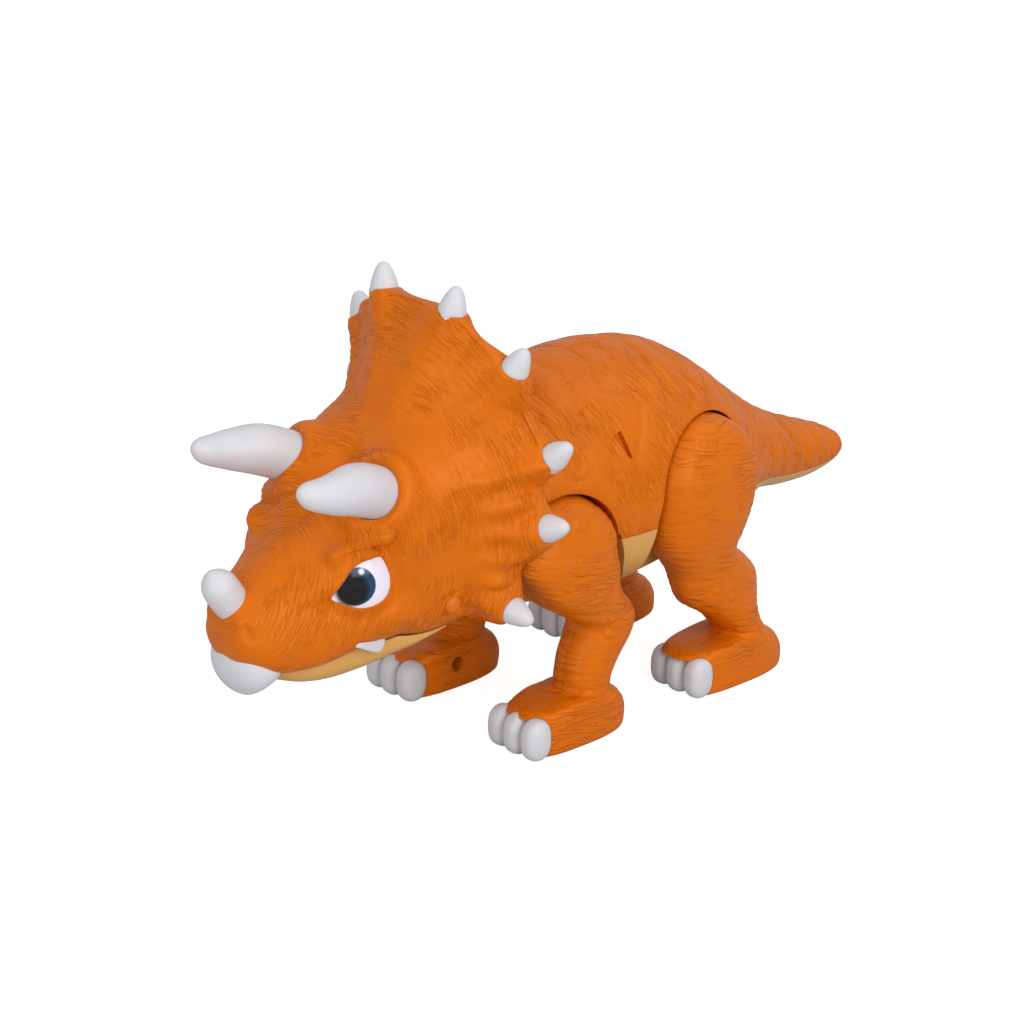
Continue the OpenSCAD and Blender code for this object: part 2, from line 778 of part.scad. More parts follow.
// Space inside the skull, up to the plane where the neck starts
module head_space() {
  skin(concat([for (s = SPACE_STATIONS) skull_inner_ring(s)], [neck_ring()]));
}
// Places a piece that is drawn up the Z axis at a point and along a direction
module aim(p, d) {
  translate(p)
    rotate([0, acos(d[2] / norm(d)), atan2(d[1], d[0])])
      children();
}
SPIKE_ANGLES = [12.7, 33.3, 58.6, 83.4, 119.6];
module each_spike() {
  for (a = SPIKE_ANGLES)
    for (side = [-1, 1])
      aim(mix(edge_point(side * a), back_point(side * a, 1), 0.5) + 0.6 * [side * sin(a), 0, cos(a)],
        [side * sin(0.88 * a), 0.12, cos(0.88 * a)])
        children();
}
spike_r = 4.8;
spigot_r = 2.4;
module spike_seat() {
  translate([0, 0, -1.2])
    cylinder(r = spike_r, h = 8);
  translate([0, 0, -6])
    cylinder(r = spigot_r, h = 6);
}
module frill_spikes() {
  white()
    each_spike()
      rotate_extrude()
        polygon([
          [0, -6], [spigot_r, -6], [spigot_r, -1.2], [spike_r, -1.2], [spike_r, 0.5],
          [0.94 * spike_r, 0.25 * spike_l], [0.78 * spike_r, 0.5 * spike_l],
          [0.54 * spike_r, 0.75 * spike_l], [0.27 * spike_r, 0.94 * spike_l], [0, spike_l]
        ]);
}
eye_at = [27.4, -115, 83];
eye_to = [0.93, -0.34, 0.12];
module each_eye(side) {
  aim([side * eye_at[0], eye_at[1], eye_at[2]], [side * eye_to[0], eye_to[1], eye_to[2]])
    children();
}
module eye(side) {
  color([0.9, 0.88, 0.93])
    each_eye(side)
      rotate_extrude()
        polygon([
          [0, -5], [eye_r, -5], [eye_r, 0], [0.92 * eye_r, 0.9], [0.75 * eye_r, 1.6], [0.5 * eye_r, 2.2],
          [0.25 * eye_r, 2.5], [0, 2.6]
        ]);
}
module eye_left() { eye(1); }
module eye_right() { eye(-1); }

// Path of a brow horn and its radius there
HORN = [
  [25, -102, 111, 1], [27.5, -110, 115.5, 1], [29.5, -119, 118.5, 0.87], [31, -130, 120, 0.62],
  [30.5, -139, 121.3, 0.34], [30, -145, 123.8, 0.06]
];
horn_to = [2.5, -8, 4.5];
function horn_at(s) = along(HORN, s);
function horn_dir(s) = s <= 0.9 ? horn_to :
  let (d = horn_at(min(5, s + 0.05)) - horn_at(s - 0.05)) [d[0], d[1], d[2]];
function horn_ring(s, n = 16) = let (
    c = horn_at(s),
    d = horn_dir(s) / norm(horn_dir(s)),
    u = cross(d, [0, 0, 1]) / norm(cross(d, [0, 0, 1])),
    v = cross(u, d),
    r = brow_horn_r * (s <= 1 ? 1 : c[3]))
  [for (k = [0:n - 1]) [c[0], c[1], c[2]] + r * (cos(360 * k / n) * u - sin(360 * k / n) * v)];
module brow_horn() {
  skin([for (s = [0, 0.9, 1.4, 2, 2.5, 3, 3.5, 4, 4.5, 4.8, 5]) horn_ring(s)]);
}
module brow_horn_left() { white() brow_horn(); }
module brow_horn_right() { white() other_side() brow_horn(); }
nose_horn_r = 7.6;
nose_at = [0, -151.5, 77.5];
nose_to = [0, -0.5, 0.86];
module nose_horn() {
  white()
    aim(nose_at, nose_to)
      rotate_extrude()
        polygon([
          [0, -3], [nose_horn_r, -3], [nose_horn_r, 2], [0.93 * nose_horn_r, 6], [0.74 * nose_horn_r, 10],
          [0.5 * nose_horn_r, 13.5], [0.28 * nose_horn_r, 15.8], [0, 17]
        ]);
}
beak_back = -143.5;
beak_top = 54;
module beak() {
  white()
    intersection() {
      translate([0, -145.5, beak_top])
        scale([16, 11.8, 13])
          sphere(1);
      translate([-30, beak_back - 40, beak_top - 30])
        cube([60, 40, 30]);
    }
}
TOOTH = [[-111.5, 64], [-102.5, 64], [-102.5, 58], [-105.5, 52], [-111.5, 58]];
tooth_x = 25.6;
tooth_t = 2.2;
module tooth_root() {
  translate([tooth_x, -111.5, 57])
    cube([tooth_t, 9, 7]);
}
module teeth() {
  white()
    for (side = [0, 1])
      mirror([side, 0, 0])
        translate([tooth_x, 0, 0])
          rotate([90, 0, 90])
            linear_extrude(tooth_t)
              polygon(TOOTH);
}
jaw_pivot = [-81, 68];
jaw_pin_r = 1.5;
ear_x = 21.3;
ear_t = 4;
module jaw_slots() {
  for (side = [0, 1])
    mirror([side, 0, 0])
      translate([ear_x - 0.5, -89, 50])
        cube([ear_t + 1, 40, 26]);
}
cap_r = 3.2;
cap_x = 32;
module head_shell() {
  orange()
    difference() {
      head_skin();
      each_spike()
        spike_seat();
      for (side = [-1, 1])
        each_eye(side)
          translate([0, 0, -5])
            cylinder(r = eye_r, h = 15);
      for (side = [0, 1])
        mirror([side, 0, 0])
          aim([HORN[0][0], HORN[0][1], HORN[0][2]], horn_to)
            cylinder(r = brow_horn_r, h = 18);
      aim(nose_at, nose_to)
        translate([0, 0, -3])
          cylinder(r = nose_horn_r, h = 20);
      jaw_slots();
      translate([-30, beak_back - 40, beak_top - 10])
        cube([60, 40, 10]);
      along_x(-60, 120, jaw_pivot, jaw_pin_r);
      for (side = [0, 1])
        mirror([side, 0, 0])
          along_x(cap_x, 20, jaw_pivot, cap_r);
      for (side = [0, 1])
        mirror([side, 0, 0])
          tooth_root();
    }
}
module jaw_pin() {
  steel() {
    along_x(-cap_x, 2 * cap_x, jaw_pivot, jaw_pin_r);
    for (side = [-1, 1])
      translate([side * cap_x, jaw_pivot[0], jaw_pivot[1]])
        rotate([0, side * 90, 0])
          rotate_extrude()
            polygon([[0, 0], [cap_r, 0], [cap_r, 1.2], [0.8 * cap_r, 2.3], [0.4 * cap_r, 2.9], [0, 3.1]]);
  }
}
// Lower jaw: y, half width, top in the middle, rise of the top to its edge, bottom
JAW_ROWS = [
  [-143, 10.5, 54, 0.2, 46.5],
  [-139, 12, 54, 0.2, 45.5],
  [-130, 16, 54.5, 0.5, 42],
  [-119, 20, 55.6, 1.2, 39.5],
  [-106, 23.5, 55.8, 1.9, 40],
  [-93, 26.5, 58.1, 2.6, 43.4],
  [-84, 28, 59.6, 3, 49],
  [-78, 28.5, 60, 3, 55]
];
function jaw_ring(row, n = 10) = let (
    w = row[1],
    top = row[2] - lip_gap,
    edge = top + row[3] - 0.6)
  concat(
    [for (k = [0:n]) let (a = 180 * k / n, c = cos(a))
      [w * sign(c) * pow(abs(c), 0.75), row[0], edge - (edge - row[4]) * pow(sin(a), 0.75)]],
    [for (k = [-1, -0.6, 0, 0.6, 1]) [k * w, row[0], top + row[3] * k * k]]);
module lower_jaw() {
  color([0.84, 0.65, 0.39])
    difference() {
      union() {
        skin([for (j = [0:12]) jaw_ring(along(JAW_ROWS, j * (len(JAW_ROWS) - 1) / 12))]);
        for (side = [0, 1])
          mirror([side, 0, 0])
            translate([ear_x, jaw_pivot[0], jaw_pivot[1]])
              rotate([90, 0, 90])
                linear_extrude(ear_t) {
                  circle(5);
                  polygon([[-4, -2], [-6, -13.3], [1.5, -13.3], [2.4, -4]]);
                }
      }
      along_x(-60, 120, jaw_pivot, jaw_pin_r + run);
    }
}
neck_z = 95;
module along_y(y, l, r) {
  translate([0, y, neck_z])
    rotate([-90, 0, 0])
      cylinder(r = r, h = l);
}
module head_back_plate() {
  color([0.2, 0.2, 0.22])
    difference() {
      intersection() {
        head_space();
        translate([-60, -98.4, 40])
          cube([120, 2.4, 120]);
      }
      along_y(-110, 40, 10);
    }
}
module neck_core() {
  color([0.2, 0.2, 0.22])
    difference() {
      union() {
        along_y(-101, 23, 10);
        along_y(-100.4, 2, 12.5);
        along_y(-96, 12, 14);
        along_y(-81, 2, 13);
      }
      along_y(-110, 40, 7);
    }
}

// The middle of the toy's length stands over the origin
middle_y = 2.8;
module stand() {
  translate([0, middle_y, 0])
    children();
}

stand() body_left_shell();
stand() body_right_shell();
stand() belly_pan();
stand() battery_door();
stand() door_screw();
stand() battery_box();
stand() batteries();
stand() battery_contacts();
stand() switch_body();
stand() switch_knob();
stand() body_screws();
stand() crank_gear();
stand() crank_axle();
stand() crank_disc_left();
stand() crank_disc_right();
stand() reduction_gear_b();
stand() reduction_gear_a();
stand() motor_pinion();
stand() motor();
stand() motor_shaft();
stand() gear_pins();
stand() gearbox_left_plate();
stand() gearbox_right_plate();
stand() front_axle();
stand() hind_axle();
stand() circuit_board();
stand() speaker();
stand() left_hind_leg_outer();
stand() left_hind_leg_inner();
stand() left_hind_claws();
stand() left_hind_lever();
stand() left_hind_leg_screws();
stand() left_front_leg_outer();
stand() left_front_leg_inner();
stand() left_front_claws();
stand() left_front_lever();
stand() left_front_leg_screws();
stand() right_hind_leg_outer();
stand() right_hind_leg_inner();
stand() right_hind_claws();
stand() right_hind_lever();
stand() right_hind_leg_screws();
stand() right_front_leg_outer();
stand() right_front_leg_inner();
stand() right_front_claws();
stand() right_front_lever();
stand() right_front_leg_screws();
stand() head_shell();
stand() head_back_plate();
stand() neck_core();
stand() beak();
stand() nose_horn();
stand() brow_horn_left();
stand() brow_horn_right();
stand() frill_spikes();
stand() eye_left();
stand() eye_right();
stand() teeth();
stand() lower_jaw();
stand() jaw_pin();
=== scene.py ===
# %% [markdown]
# # A walking toy triceratops
# The real toy is a set of moulded plastic shells round a motor and four swinging legs.
# The CAD part is loaded first, and every skin that is modelled below sits on it.
# Lengths are written in millimetres, as on the part's drawing. The part stands with the middle of its
# box over the origin, so a small step in y is added when a mesh is made, and metres are made from it.

# %% Load the CAD part
import math

import bmesh
import bpy
import numpy as np
from mathutils import Matrix, Vector
from mathutils.bvhtree import BVHTree


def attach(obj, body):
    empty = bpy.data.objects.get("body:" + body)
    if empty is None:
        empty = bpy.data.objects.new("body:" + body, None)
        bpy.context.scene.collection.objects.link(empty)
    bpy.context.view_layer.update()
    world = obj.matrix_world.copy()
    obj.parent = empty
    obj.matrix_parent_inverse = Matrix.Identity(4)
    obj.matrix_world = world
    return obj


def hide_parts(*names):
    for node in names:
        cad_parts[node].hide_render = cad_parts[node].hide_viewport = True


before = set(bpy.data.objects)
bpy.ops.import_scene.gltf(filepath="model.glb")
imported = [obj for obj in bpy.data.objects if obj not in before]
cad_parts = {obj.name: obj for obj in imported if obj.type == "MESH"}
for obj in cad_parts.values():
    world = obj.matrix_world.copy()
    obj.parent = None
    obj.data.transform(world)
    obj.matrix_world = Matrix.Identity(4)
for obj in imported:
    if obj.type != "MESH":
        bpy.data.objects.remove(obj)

MM = 0.001
STAND = np.array([0, 2.8, 0])
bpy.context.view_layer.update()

# %% [markdown]
# ## The camera
# The photograph was taken with a long lens from the front left, a little above the toy.
# A camera could be aimed with a constraint, but three unit vectors make the same view and
# also let the script turn a pixel of the photograph into a ray, which places small features.

# %% Camera
PHOTO_SIDE = 1024
FOCAL_LENGTH = 3300
CAMERA_AZIMUTH = math.radians(48.222)
CAMERA_HEIGHT = math.radians(21.268)
CAMERA_PLACE = np.array([-15.594, 66.987, 1277.66])
SENSOR_WIDTH = 36

camera_back = np.array([
    math.sin(CAMERA_AZIMUTH) * math.cos(CAMERA_HEIGHT),
    -math.cos(CAMERA_AZIMUTH) * math.cos(CAMERA_HEIGHT),
    math.sin(CAMERA_HEIGHT),
])
camera_right = np.array([math.cos(CAMERA_AZIMUTH), math.sin(CAMERA_AZIMUTH), 0])
camera_up = np.cross(camera_back, camera_right)
camera_axes = np.stack([camera_right, camera_up, camera_back])
camera_eye = CAMERA_PLACE @ camera_axes

camera_data = bpy.data.cameras.new("camera")
camera_data.sensor_width = SENSOR_WIDTH
camera_data.lens = SENSOR_WIDTH * FOCAL_LENGTH / PHOTO_SIDE
camera = bpy.data.objects.new("camera", camera_data)
bpy.context.scene.collection.objects.link(camera)
camera.matrix_world = Matrix.Translation((camera_eye + STAND) * MM) @ Matrix(camera_axes.T).to_4x4()
bpy.context.scene.camera = camera
print("lens in mm:", round(camera_data.lens, 1))

# %% [markdown]
# ## Colours and finishes
# The skin is one orange plastic, the belly and jaw a cream one, and the horns and claws a white one.
# Real mouldings are never one flat colour, so three node groups are shared by the plastics: one makes
# a slow drift of colour, one the fine grain of the mould and its scuffs, and one the wrinkle lines that
# run over the skin. A group is built once, and each material sets its own sizes on it.

# %% Shared node groups
def new_group(name, inputs, outputs):
    group = bpy.data.node_groups.new(name, "ShaderNodeTree")
    for label, kind, value in inputs:
        socket = group.interface.new_socket(label, in_out="INPUT", socket_type=kind)
        socket.default_value = value
    for label, kind in outputs:
        group.interface.new_socket(label, in_out="OUTPUT", socket_type=kind)
    return group, group.nodes.new("NodeGroupInput"), group.nodes.new("NodeGroupOutput")


def add_node(tree, kind, **values):
    node = tree.nodes.new(kind)
    for key, value in values.items():
        if key in node.inputs:
            node.inputs[key].default_value = value
        else:
            setattr(node, key, value)
    return node


def math_node(tree, operation, first, second):
    """A sum on two values, each a socket or a plain number."""
    node = add_node(tree, "ShaderNodeMath", operation=operation)
    for socket, value in zip(node.inputs, (first, second)):
        if isinstance(value, (int, float)):
            socket.default_value = value
        else:
            tree.links.new(value, socket)
    return node.outputs[0]


def make_drift():
    group, start, end = new_group(
        "colour drift",
        [("Colour", "NodeSocketColor", (1, 1, 1, 1)), ("Deep colour", "NodeSocketColor", (0, 0, 0, 1)),
         ("Scale", "NodeSocketFloat", 30.0)],
        [("Colour", "NodeSocketColor")])
    place = add_node(group, "ShaderNodeTexCoord")
    cloud = add_node(group, "ShaderNodeTexNoise", Detail=4.0, Roughness=0.6)
    mix = add_node(group, "ShaderNodeMix", data_type="RGBA")
    group.links.new(place.outputs["Object"], cloud.inputs["Vector"])
    group.links.new(start.outputs["Scale"], cloud.inputs["Scale"])
    group.links.new(cloud.outputs["Fac"], mix.inputs["Factor"])
    group.links.new(start.outputs["Colour"], mix.inputs[6])
    group.links.new(start.outputs["Deep colour"], mix.inputs[7])
    group.links.new(mix.outputs[2], end.inputs["Colour"])
    return group


def make_grain():
    group, start, end = new_group(
        "mould grain",
        [("Scale", "NodeSocketFloat", 900.0), ("Least rough", "NodeSocketFloat", 0.3),
         ("Most rough", "NodeSocketFloat", 0.5)],
        [("Height", "NodeSocketFloat"), ("Roughness", "NodeSocketFloat")])
    place = add_node(group, "ShaderNodeTexCoord")
    fine = add_node(group, "ShaderNodeTexNoise", Detail=3.0, Roughness=0.65)
    broad = add_node(group, "ShaderNodeTexNoise", Scale=60.0, Detail=5.0)
    spread = add_node(group, "ShaderNodeMapRange")
    group.links.new(place.outputs["Object"], fine.inputs["Vector"])
    group.links.new(place.outputs["Object"], broad.inputs["Vector"])
    group.links.new(start.outputs["Scale"], fine.inputs["Scale"])
    group.links.new(fine.outputs["Fac"], end.inputs["Height"])
    group.links.new(broad.outputs["Fac"], spread.inputs["Value"])
    group.links.new(start.outputs["Least rough"], spread.inputs["To Min"])
    group.links.new(start.outputs["Most rough"], spread.inputs["To Max"])
    group.links.new(spread.outputs["Result"], end.inputs["Roughness"])
    return group


colour_drift = make_drift()
mould_grain = make_grain()
print("node groups:", [g.name for g in bpy.data.node_groups])

# %% [markdown]
# A wrinkle line is long one way and narrow the other. Noise in four dimensions makes it: the three
# dimensions of space change slowly, and the fourth runs fast across the lines. Where the noise passes
# its middle value there is a thin line, and a slower noise lets the lines fade out here and there.

# %% Wrinkle lines
def make_wrinkles():
    group, start, end = new_group(
        "wrinkle lines",
        [("Across", "NodeSocketFloat", 0.0), ("Fine", "NodeSocketFloat", 300.0),
         ("Long", "NodeSocketFloat", 40.0), ("Sway", "NodeSocketFloat", 0.002)],
        [("Height", "NodeSocketFloat"), ("Line", "NodeSocketFloat")])
    place = add_node(group, "ShaderNodeTexCoord").outputs["Object"]
    bend = add_node(group, "ShaderNodeTexNoise", Scale=90.0, Detail=1.0)
    sway = math_node(group, "MULTIPLY", bend.outputs["Fac"], start.outputs["Sway"])
    across = math_node(group, "ADD", start.outputs["Across"], sway)
    stretch = add_node(group, "ShaderNodeVectorMath", operation="SCALE")
    noise = add_node(group, "ShaderNodeTexNoise", noise_dimensions="4D", Scale=1.0, Detail=1.5)
    where = add_node(group, "ShaderNodeTexNoise", Scale=55.0, Detail=2.0)
    group.links.new(place, bend.inputs["Vector"])
    group.links.new(place, where.inputs["Vector"])
    group.links.new(place, stretch.inputs[0])
    group.links.new(start.outputs["Long"], stretch.inputs["Scale"])
    group.links.new(stretch.outputs[0], noise.inputs["Vector"])
    group.links.new(math_node(group, "MULTIPLY", across, start.outputs["Fine"]), noise.inputs["W"])
    middle = math_node(group, "ABSOLUTE", math_node(group, "SUBTRACT", noise.outputs["Fac"], 0.5), 0)
    narrow = add_node(group, "ShaderNodeMapRange", interpolation_type="SMOOTHSTEP")
    narrow.inputs["From Max"].default_value = 0.07
    narrow.inputs["To Min"].default_value = 1.0
    narrow.inputs["To Max"].default_value = 0.0
    fade = add_node(group, "ShaderNodeMapRange", interpolation_type="SMOOTHSTEP")
    fade.inputs["From Min"].default_value = 0.38
    fade.inputs["From Max"].default_value = 0.62
    group.links.new(middle, narrow.inputs["Value"])
    group.links.new(where.outputs["Fac"], fade.inputs["Value"])
    line = math_node(group, "MULTIPLY", narrow.outputs["Result"], fade.outputs["Result"])
    group.links.new(line, end.inputs["Line"])
    group.links.new(math_node(group, "SUBTRACT", noise.outputs["Fac"], line), end.inputs["Height"])
    return group


wrinkle_lines = make_wrinkles()
print("sockets of the wrinkle lines:", [s.name for s in wrinkle_lines.interface.items_tree])

# %% [markdown]
# A colour that is picked from a photograph is a screen value, and a shader works in linear light.
# So each colour is written as the eye sees it and turned into linear light by one small function.
# Another makes a plain plastic or metal from two colours and the first two groups.

# %% Plain plastic
SHINE = 0.3


def linear(red, green, blue):
    def channel(value):
        value /= 255
        return value / 12.92 if value <= 0.04045 else ((value + 0.055) / 1.055) ** 2.4

    return (channel(red), channel(green), channel(blue), 1)


def plastic(name, colour, deep, rough=(0.32, 0.45), drift=25.0, grain=1100.0, relief=0.03, metal=0.0):
    material = bpy.data.materials.new(name)
    material.use_nodes = True
    tree = material.node_tree
    shader = tree.nodes["Principled BSDF"]
    tint = add_node(tree, "ShaderNodeGroup", node_tree=colour_drift, label="tint")
    tint.inputs["Colour"].default_value = colour
    tint.inputs["Deep colour"].default_value = deep
    tint.inputs["Scale"].default_value = drift
    skin = add_node(tree, "ShaderNodeGroup", node_tree=mould_grain)
    skin.inputs["Scale"].default_value = grain
    skin.inputs["Least rough"].default_value = rough[0]
    skin.inputs["Most rough"].default_value = rough[1]
    bump = add_node(tree, "ShaderNodeBump", label="grain", Strength=relief, Distance=0.001)
    tree.links.new(tint.outputs["Colour"], shader.inputs["Base Color"])
    tree.links.new(skin.outputs["Roughness"], shader.inputs["Roughness"])
    tree.links.new(skin.outputs["Height"], bump.inputs["Height"])
    tree.links.new(bump.outputs["Normal"], shader.inputs["Normal"])
    shader.inputs["Metallic"].default_value = metal
    shader.inputs["Specular IOR Level"].default_value = SHINE
    return material


# The last of these three colours is painted shade, used to darken the wrinkle lines as if their creases were
# in shadow.
ORANGE_LIGHT, ORANGE_DEEP, ORANGE_CREASE_SHADE = linear(213, 107, 6), linear(206, 100, 4), linear(150, 62, 4)
print("orange in linear light:", [round(v, 3) for v in ORANGE_LIGHT[:3]])

# %% [markdown]
# The orange skins have the wrinkle lines too, pressed in, with painted shade darkening each line as if its
# crease lay in shadow, under a warm shine. On the legs the lines run level, on the body they slant, and on
# the head they run round the skull, so each of the three skins says in its own way how far a point lies
# across its lines.

# %% Wrinkled plastic
HEAD_AXIS = 88
GLOSS_TINT = (1.0, 0.8, 0.42, 1.0)


def wrinkled(name, across, fine, long, sway=0.003, depth=0.6, dark=0.13):
    """The orange plastic with wrinkle lines and painted shade along them; across makes a socket that says how
    far over a point lies.
    """
    material = plastic(name, ORANGE_LIGHT, ORANGE_DEEP)
    tree = material.node_tree
    tree.nodes["Principled BSDF"].inputs["Specular Tint"].default_value = GLOSS_TINT
    tint = next(node for node in tree.nodes if node.label == "tint")
    grain = next(node for node in tree.nodes if node.label == "grain")
    lines = add_node(tree, "ShaderNodeGroup", node_tree=wrinkle_lines)
    for label, value in (("Fine", fine), ("Long", long), ("Sway", sway)):
        lines.inputs[label].default_value = value
    tree.links.new(across(tree), lines.inputs["Across"])
    folds = add_node(tree, "ShaderNodeBump", Strength=depth, Distance=0.0006)
    # Painted shade: along each wrinkle line the colour is mixed towards a darker orange, as if the crease lay
    # in shadow.
    shade = add_node(tree, "ShaderNodeMix", data_type="RGBA")
    shade.inputs[7].default_value = ORANGE_CREASE_SHADE
    tree.links.new(lines.outputs["Height"], folds.inputs["Height"])
    tree.links.new(folds.outputs["Normal"], grain.inputs["Normal"])
    tree.links.new(math_node(tree, "MULTIPLY", lines.outputs["Line"], dark), shade.inputs["Factor"])
    tree.links.new(tint.outputs["Colour"], shade.inputs[6])
    tree.links.new(shade.outputs[2], tree.nodes["Principled BSDF"].inputs["Base Color"])
    return material


def straight_across(x, y, z):
    def make(tree):
        place = add_node(tree, "ShaderNodeTexCoord").outputs["Object"]
        node = add_node(tree, "ShaderNodeVectorMath", operation="DOT_PRODUCT")
        node.inputs[1].default_value = (x, y, z)
        tree.links.new(place, node.inputs[0])
        return node.outputs["Value"]

    return make


def round_head(tree):
    """The distance from the axis of the head, added to the distance along it."""
    place = add_node(tree, "ShaderNodeTexCoord").outputs["Object"]
    parts = add_node(tree, "ShaderNodeSeparateXYZ")
    tree.links.new(place, parts.inputs[0])
    high = math_node(tree, "SUBTRACT", parts.outputs["Z"], HEAD_AXIS * MM)
    square = math_node(tree, "ADD", math_node(tree, "POWER", high, 2.0),
                       math_node(tree, "POWER", parts.outputs["X"], 2.0))
    return math_node(tree, "ADD", math_node(tree, "SQRT", square, 0), parts.outputs["Y"])


ORANGE_BODY = wrinkled("orange body", straight_across(0, 0.92, 0.39), 620.0, 60.0)
ORANGE_LEG = wrinkled("orange leg", straight_across(0, 0.12, 0.99), 520.0, 80.0, depth=0.65, dark=0.14)
ORANGE_HEAD = wrinkled("orange head", round_head, 640.0, 90.0)
ORANGE = plastic("orange plain", ORANGE_LIGHT, ORANGE_DEEP)
CREAM = plastic("cream plastic", linear(216, 164, 94), linear(208, 155, 84))
WHITE = plastic("white plastic", linear(208, 207, 212), linear(200, 199, 204), drift=40.0)
print("materials:", [m.name for m in bpy.data.materials if m.use_nodes])

# %% [markdown]
# ## Lofts
# Every skin of the toy is a loft: sections placed along a line, joined into a grid of small faces.
# Blender's skin tools could do it, but a grid in numpy keeps each row and column known, so that
# folds and wrinkles can be pressed into it later. The sections of the body, the legs and
# the skull come from the CAD part; the frill and the jaw follow the photograph more closely.

# %% Loft helpers
def spline(a, b, c, d, t):
    return b + 0.5 * t * (c - a + t * (2 * a - 5 * b + 4 * c - d + t * (3 * (b - c) + d - a)))


def rows_along(rows, places):
    """Smooth rows at fractional places in a list of rows."""
    rows = np.asarray(rows, float)
    first = np.clip(np.floor(places).astype(int), 0, len(rows) - 2)
    near = [rows[np.clip(first + k, 0, len(rows) - 1)] for k in (-1, 0, 1, 2)]
    return spline(*near, (places - first)[:, None])


def radii_round(radii, angles):
    """Radii at any angle, from radii given at even steps from 0 to 180 degrees on a symmetric section."""
    last = radii.shape[1] - 1
    place = np.abs((angles + 180) % 360 - 180) * last / 180
    first = np.minimum(np.floor(place).astype(int), last - 1)
    near = []
    for k in (-1, 0, 1, 2):
        index = np.abs(first + k)
        near.append(radii[:, np.where(index > last, 2 * last - index, index)])
    return spline(*near, place - first)


def grid_faces(rows, columns, closed):
    row = np.arange(rows - 1)[:, None] * columns
    column = np.arange(columns if closed else columns - 1)[None, :]
    a, b = row + column, row + (column + 1) % columns
    return np.stack([a, b, b + columns, a + columns], -1).reshape(-1, 4).tolist()


def tube_mesh(rings):
    """Points and faces of a closed loft over rings of points, with a fan of faces over each end."""
    rows, columns = rings.shape[:2]
    points = [*rings.reshape(-1, 3), rings[0].mean(0), rings[-1].mean(0)]
    faces = grid_faces(rows, columns, True)
    last = (rows - 1) * columns
    for k in range(columns):
        after = (k + 1) % columns
        faces.append([rows * columns, after, k])
        faces.append([rows * columns + 1, last + k, last + after])
    return np.array(points), faces


def joined(meshes):
    """One list of points and one of faces from several meshes."""
    points, faces, count = [], [], 0
    for new_points, new_faces in meshes:
        points.append(new_points)
        faces += [[index + count for index in face] for face in new_faces]
        count += len(new_points)
    return np.concatenate(points), faces


def solid(name, points, faces):
    """A mesh object in metres from points in millimetres, with its faces turned outwards."""
    mesh = bpy.data.meshes.new(name)
    mesh.from_pydata(((np.asarray(points) + STAND) * MM).tolist(), [], faces)
    shape = bmesh.new()
    shape.from_mesh(mesh)
    bmesh.ops.recalc_face_normals(shape, faces=shape.faces)
    shape.to_mesh(mesh)
    shape.free()
    made = bpy.data.objects.new(name, mesh)
    bpy.context.scene.collection.objects.link(made)
    return made


print("half way on an even spline:", spline(0, 1, 2, 3, 0.5))

# %% [markdown]
# A skin is cut the way the mould is cored: with a plain solid, taken away by a boolean. The solids could
# be Blender's own cubes and cylinders, but an outline drawn between two sides makes either, and more.

# %% Cutters
def prism(outline, low, high, place=(0, 0, 0), tilt=0.0):
    """A solid between two values of x over an outline in y and z, tilted round x and then moved."""
    count = len(outline)
    points = [(x, y * math.cos(tilt) - z * math.sin(tilt), y * math.sin(tilt) + z * math.cos(tilt))
              for x in (low, high) for y, z in outline]
    faces = [list(range(count)), list(range(count, 2 * count))]
    for k in range(count):
        after = (k + 1) % count
        faces.append([k, after, count + after, count + k])
    return solid("cutter", np.array(points) + place, faces)


def circle(centre, radius, count=96):
    turn = np.arange(count) * 2 * np.pi / count
    return np.stack([centre[0] + radius * np.cos(turn), centre[1] + radius * np.sin(turn)], -1)


def block(low, high):
    outline = [(low[1], low[2]), (high[1], low[2]), (high[1], high[2]), (low[1], high[2])]
    return prism(outline, low[0], high[0])


def post(place, radius, low, high):
    """An upright round solid over a place in x and y."""
    rings = [[(x, y, z) for x, y in circle(place, radius, 48)] for z in (low, high)]
    return solid("cutter", *tube_mesh(np.array(rings)))


print("corners of a round cutter:", len(circle((0, 0), 1)))

# %% [markdown]
# The Manifold solver is the quick one in Blender 4.5, and it needs closed meshes, which lofts are.
# A finished piece is then smoothed, given its material and tied to its CAD body.
# A piece of the right side is made as its left twin first, and then mirrored.

# %% Cutting and finishing
SHARP_ANGLE = 40


def mirrored(made):
    made.data.transform(Matrix.Scale(-1, 4, (1, 0, 0)))
    made.data.flip_normals()
    return made


def on_side(made, side):
    return mirrored(made) if side == "right" else made


def cut(made, *cutters, operation="DIFFERENCE"):
    for cutter in cutters:
        step = made.modifiers.new("cut", "BOOLEAN")
        step.operation = operation
        step.solver = "MANIFOLD"
        step.object = cutter
    view = bpy.context.evaluated_depsgraph_get()
    shape = bpy.data.meshes.new_from_object(made.evaluated_get(view))
    made.modifiers.clear()
    made.data = shape
    for cutter in cutters:
        bpy.data.objects.remove(cutter)
    return made


def finish_piece(made, material, body, nodes):
    made.data.shade_smooth()
    made.data.set_sharp_from_angle(angle=math.radians(SHARP_ANGLE))
    made.data.materials.clear()
    made.data.materials.append(material)
    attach(made, body)
    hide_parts(*nodes)
    print(made.name, "faces:", len(made.data.polygons))
    return made


print("edges are sharp from an angle of:", SHARP_ANGLE)

# %% [markdown]
# ## Sculpting by number
# The folds of the skin could be pushed with sculpt brushes by hand. Here a brush is a small function:
# it adds to a map of heights over the grid, along a line or inside a many-sided scale, and the map
# then moves the grid along its normals. A line is a few pixels of the photograph, and the camera's
# rays bring them down on the skin; the other side of the toy gets the mirror image.

# %% Rays and grids
def photo_rays(pixels):
    """Unit directions from the camera through pixels of the photograph."""
    across = (np.asarray(pixels, float) - PHOTO_SIDE / 2) / FOCAL_LENGTH
    ahead = np.stack([across[:, 0], -across[:, 1], -np.ones(len(across))], -1) @ camera_axes
    return ahead / np.linalg.norm(ahead, axis=1)[:, None]


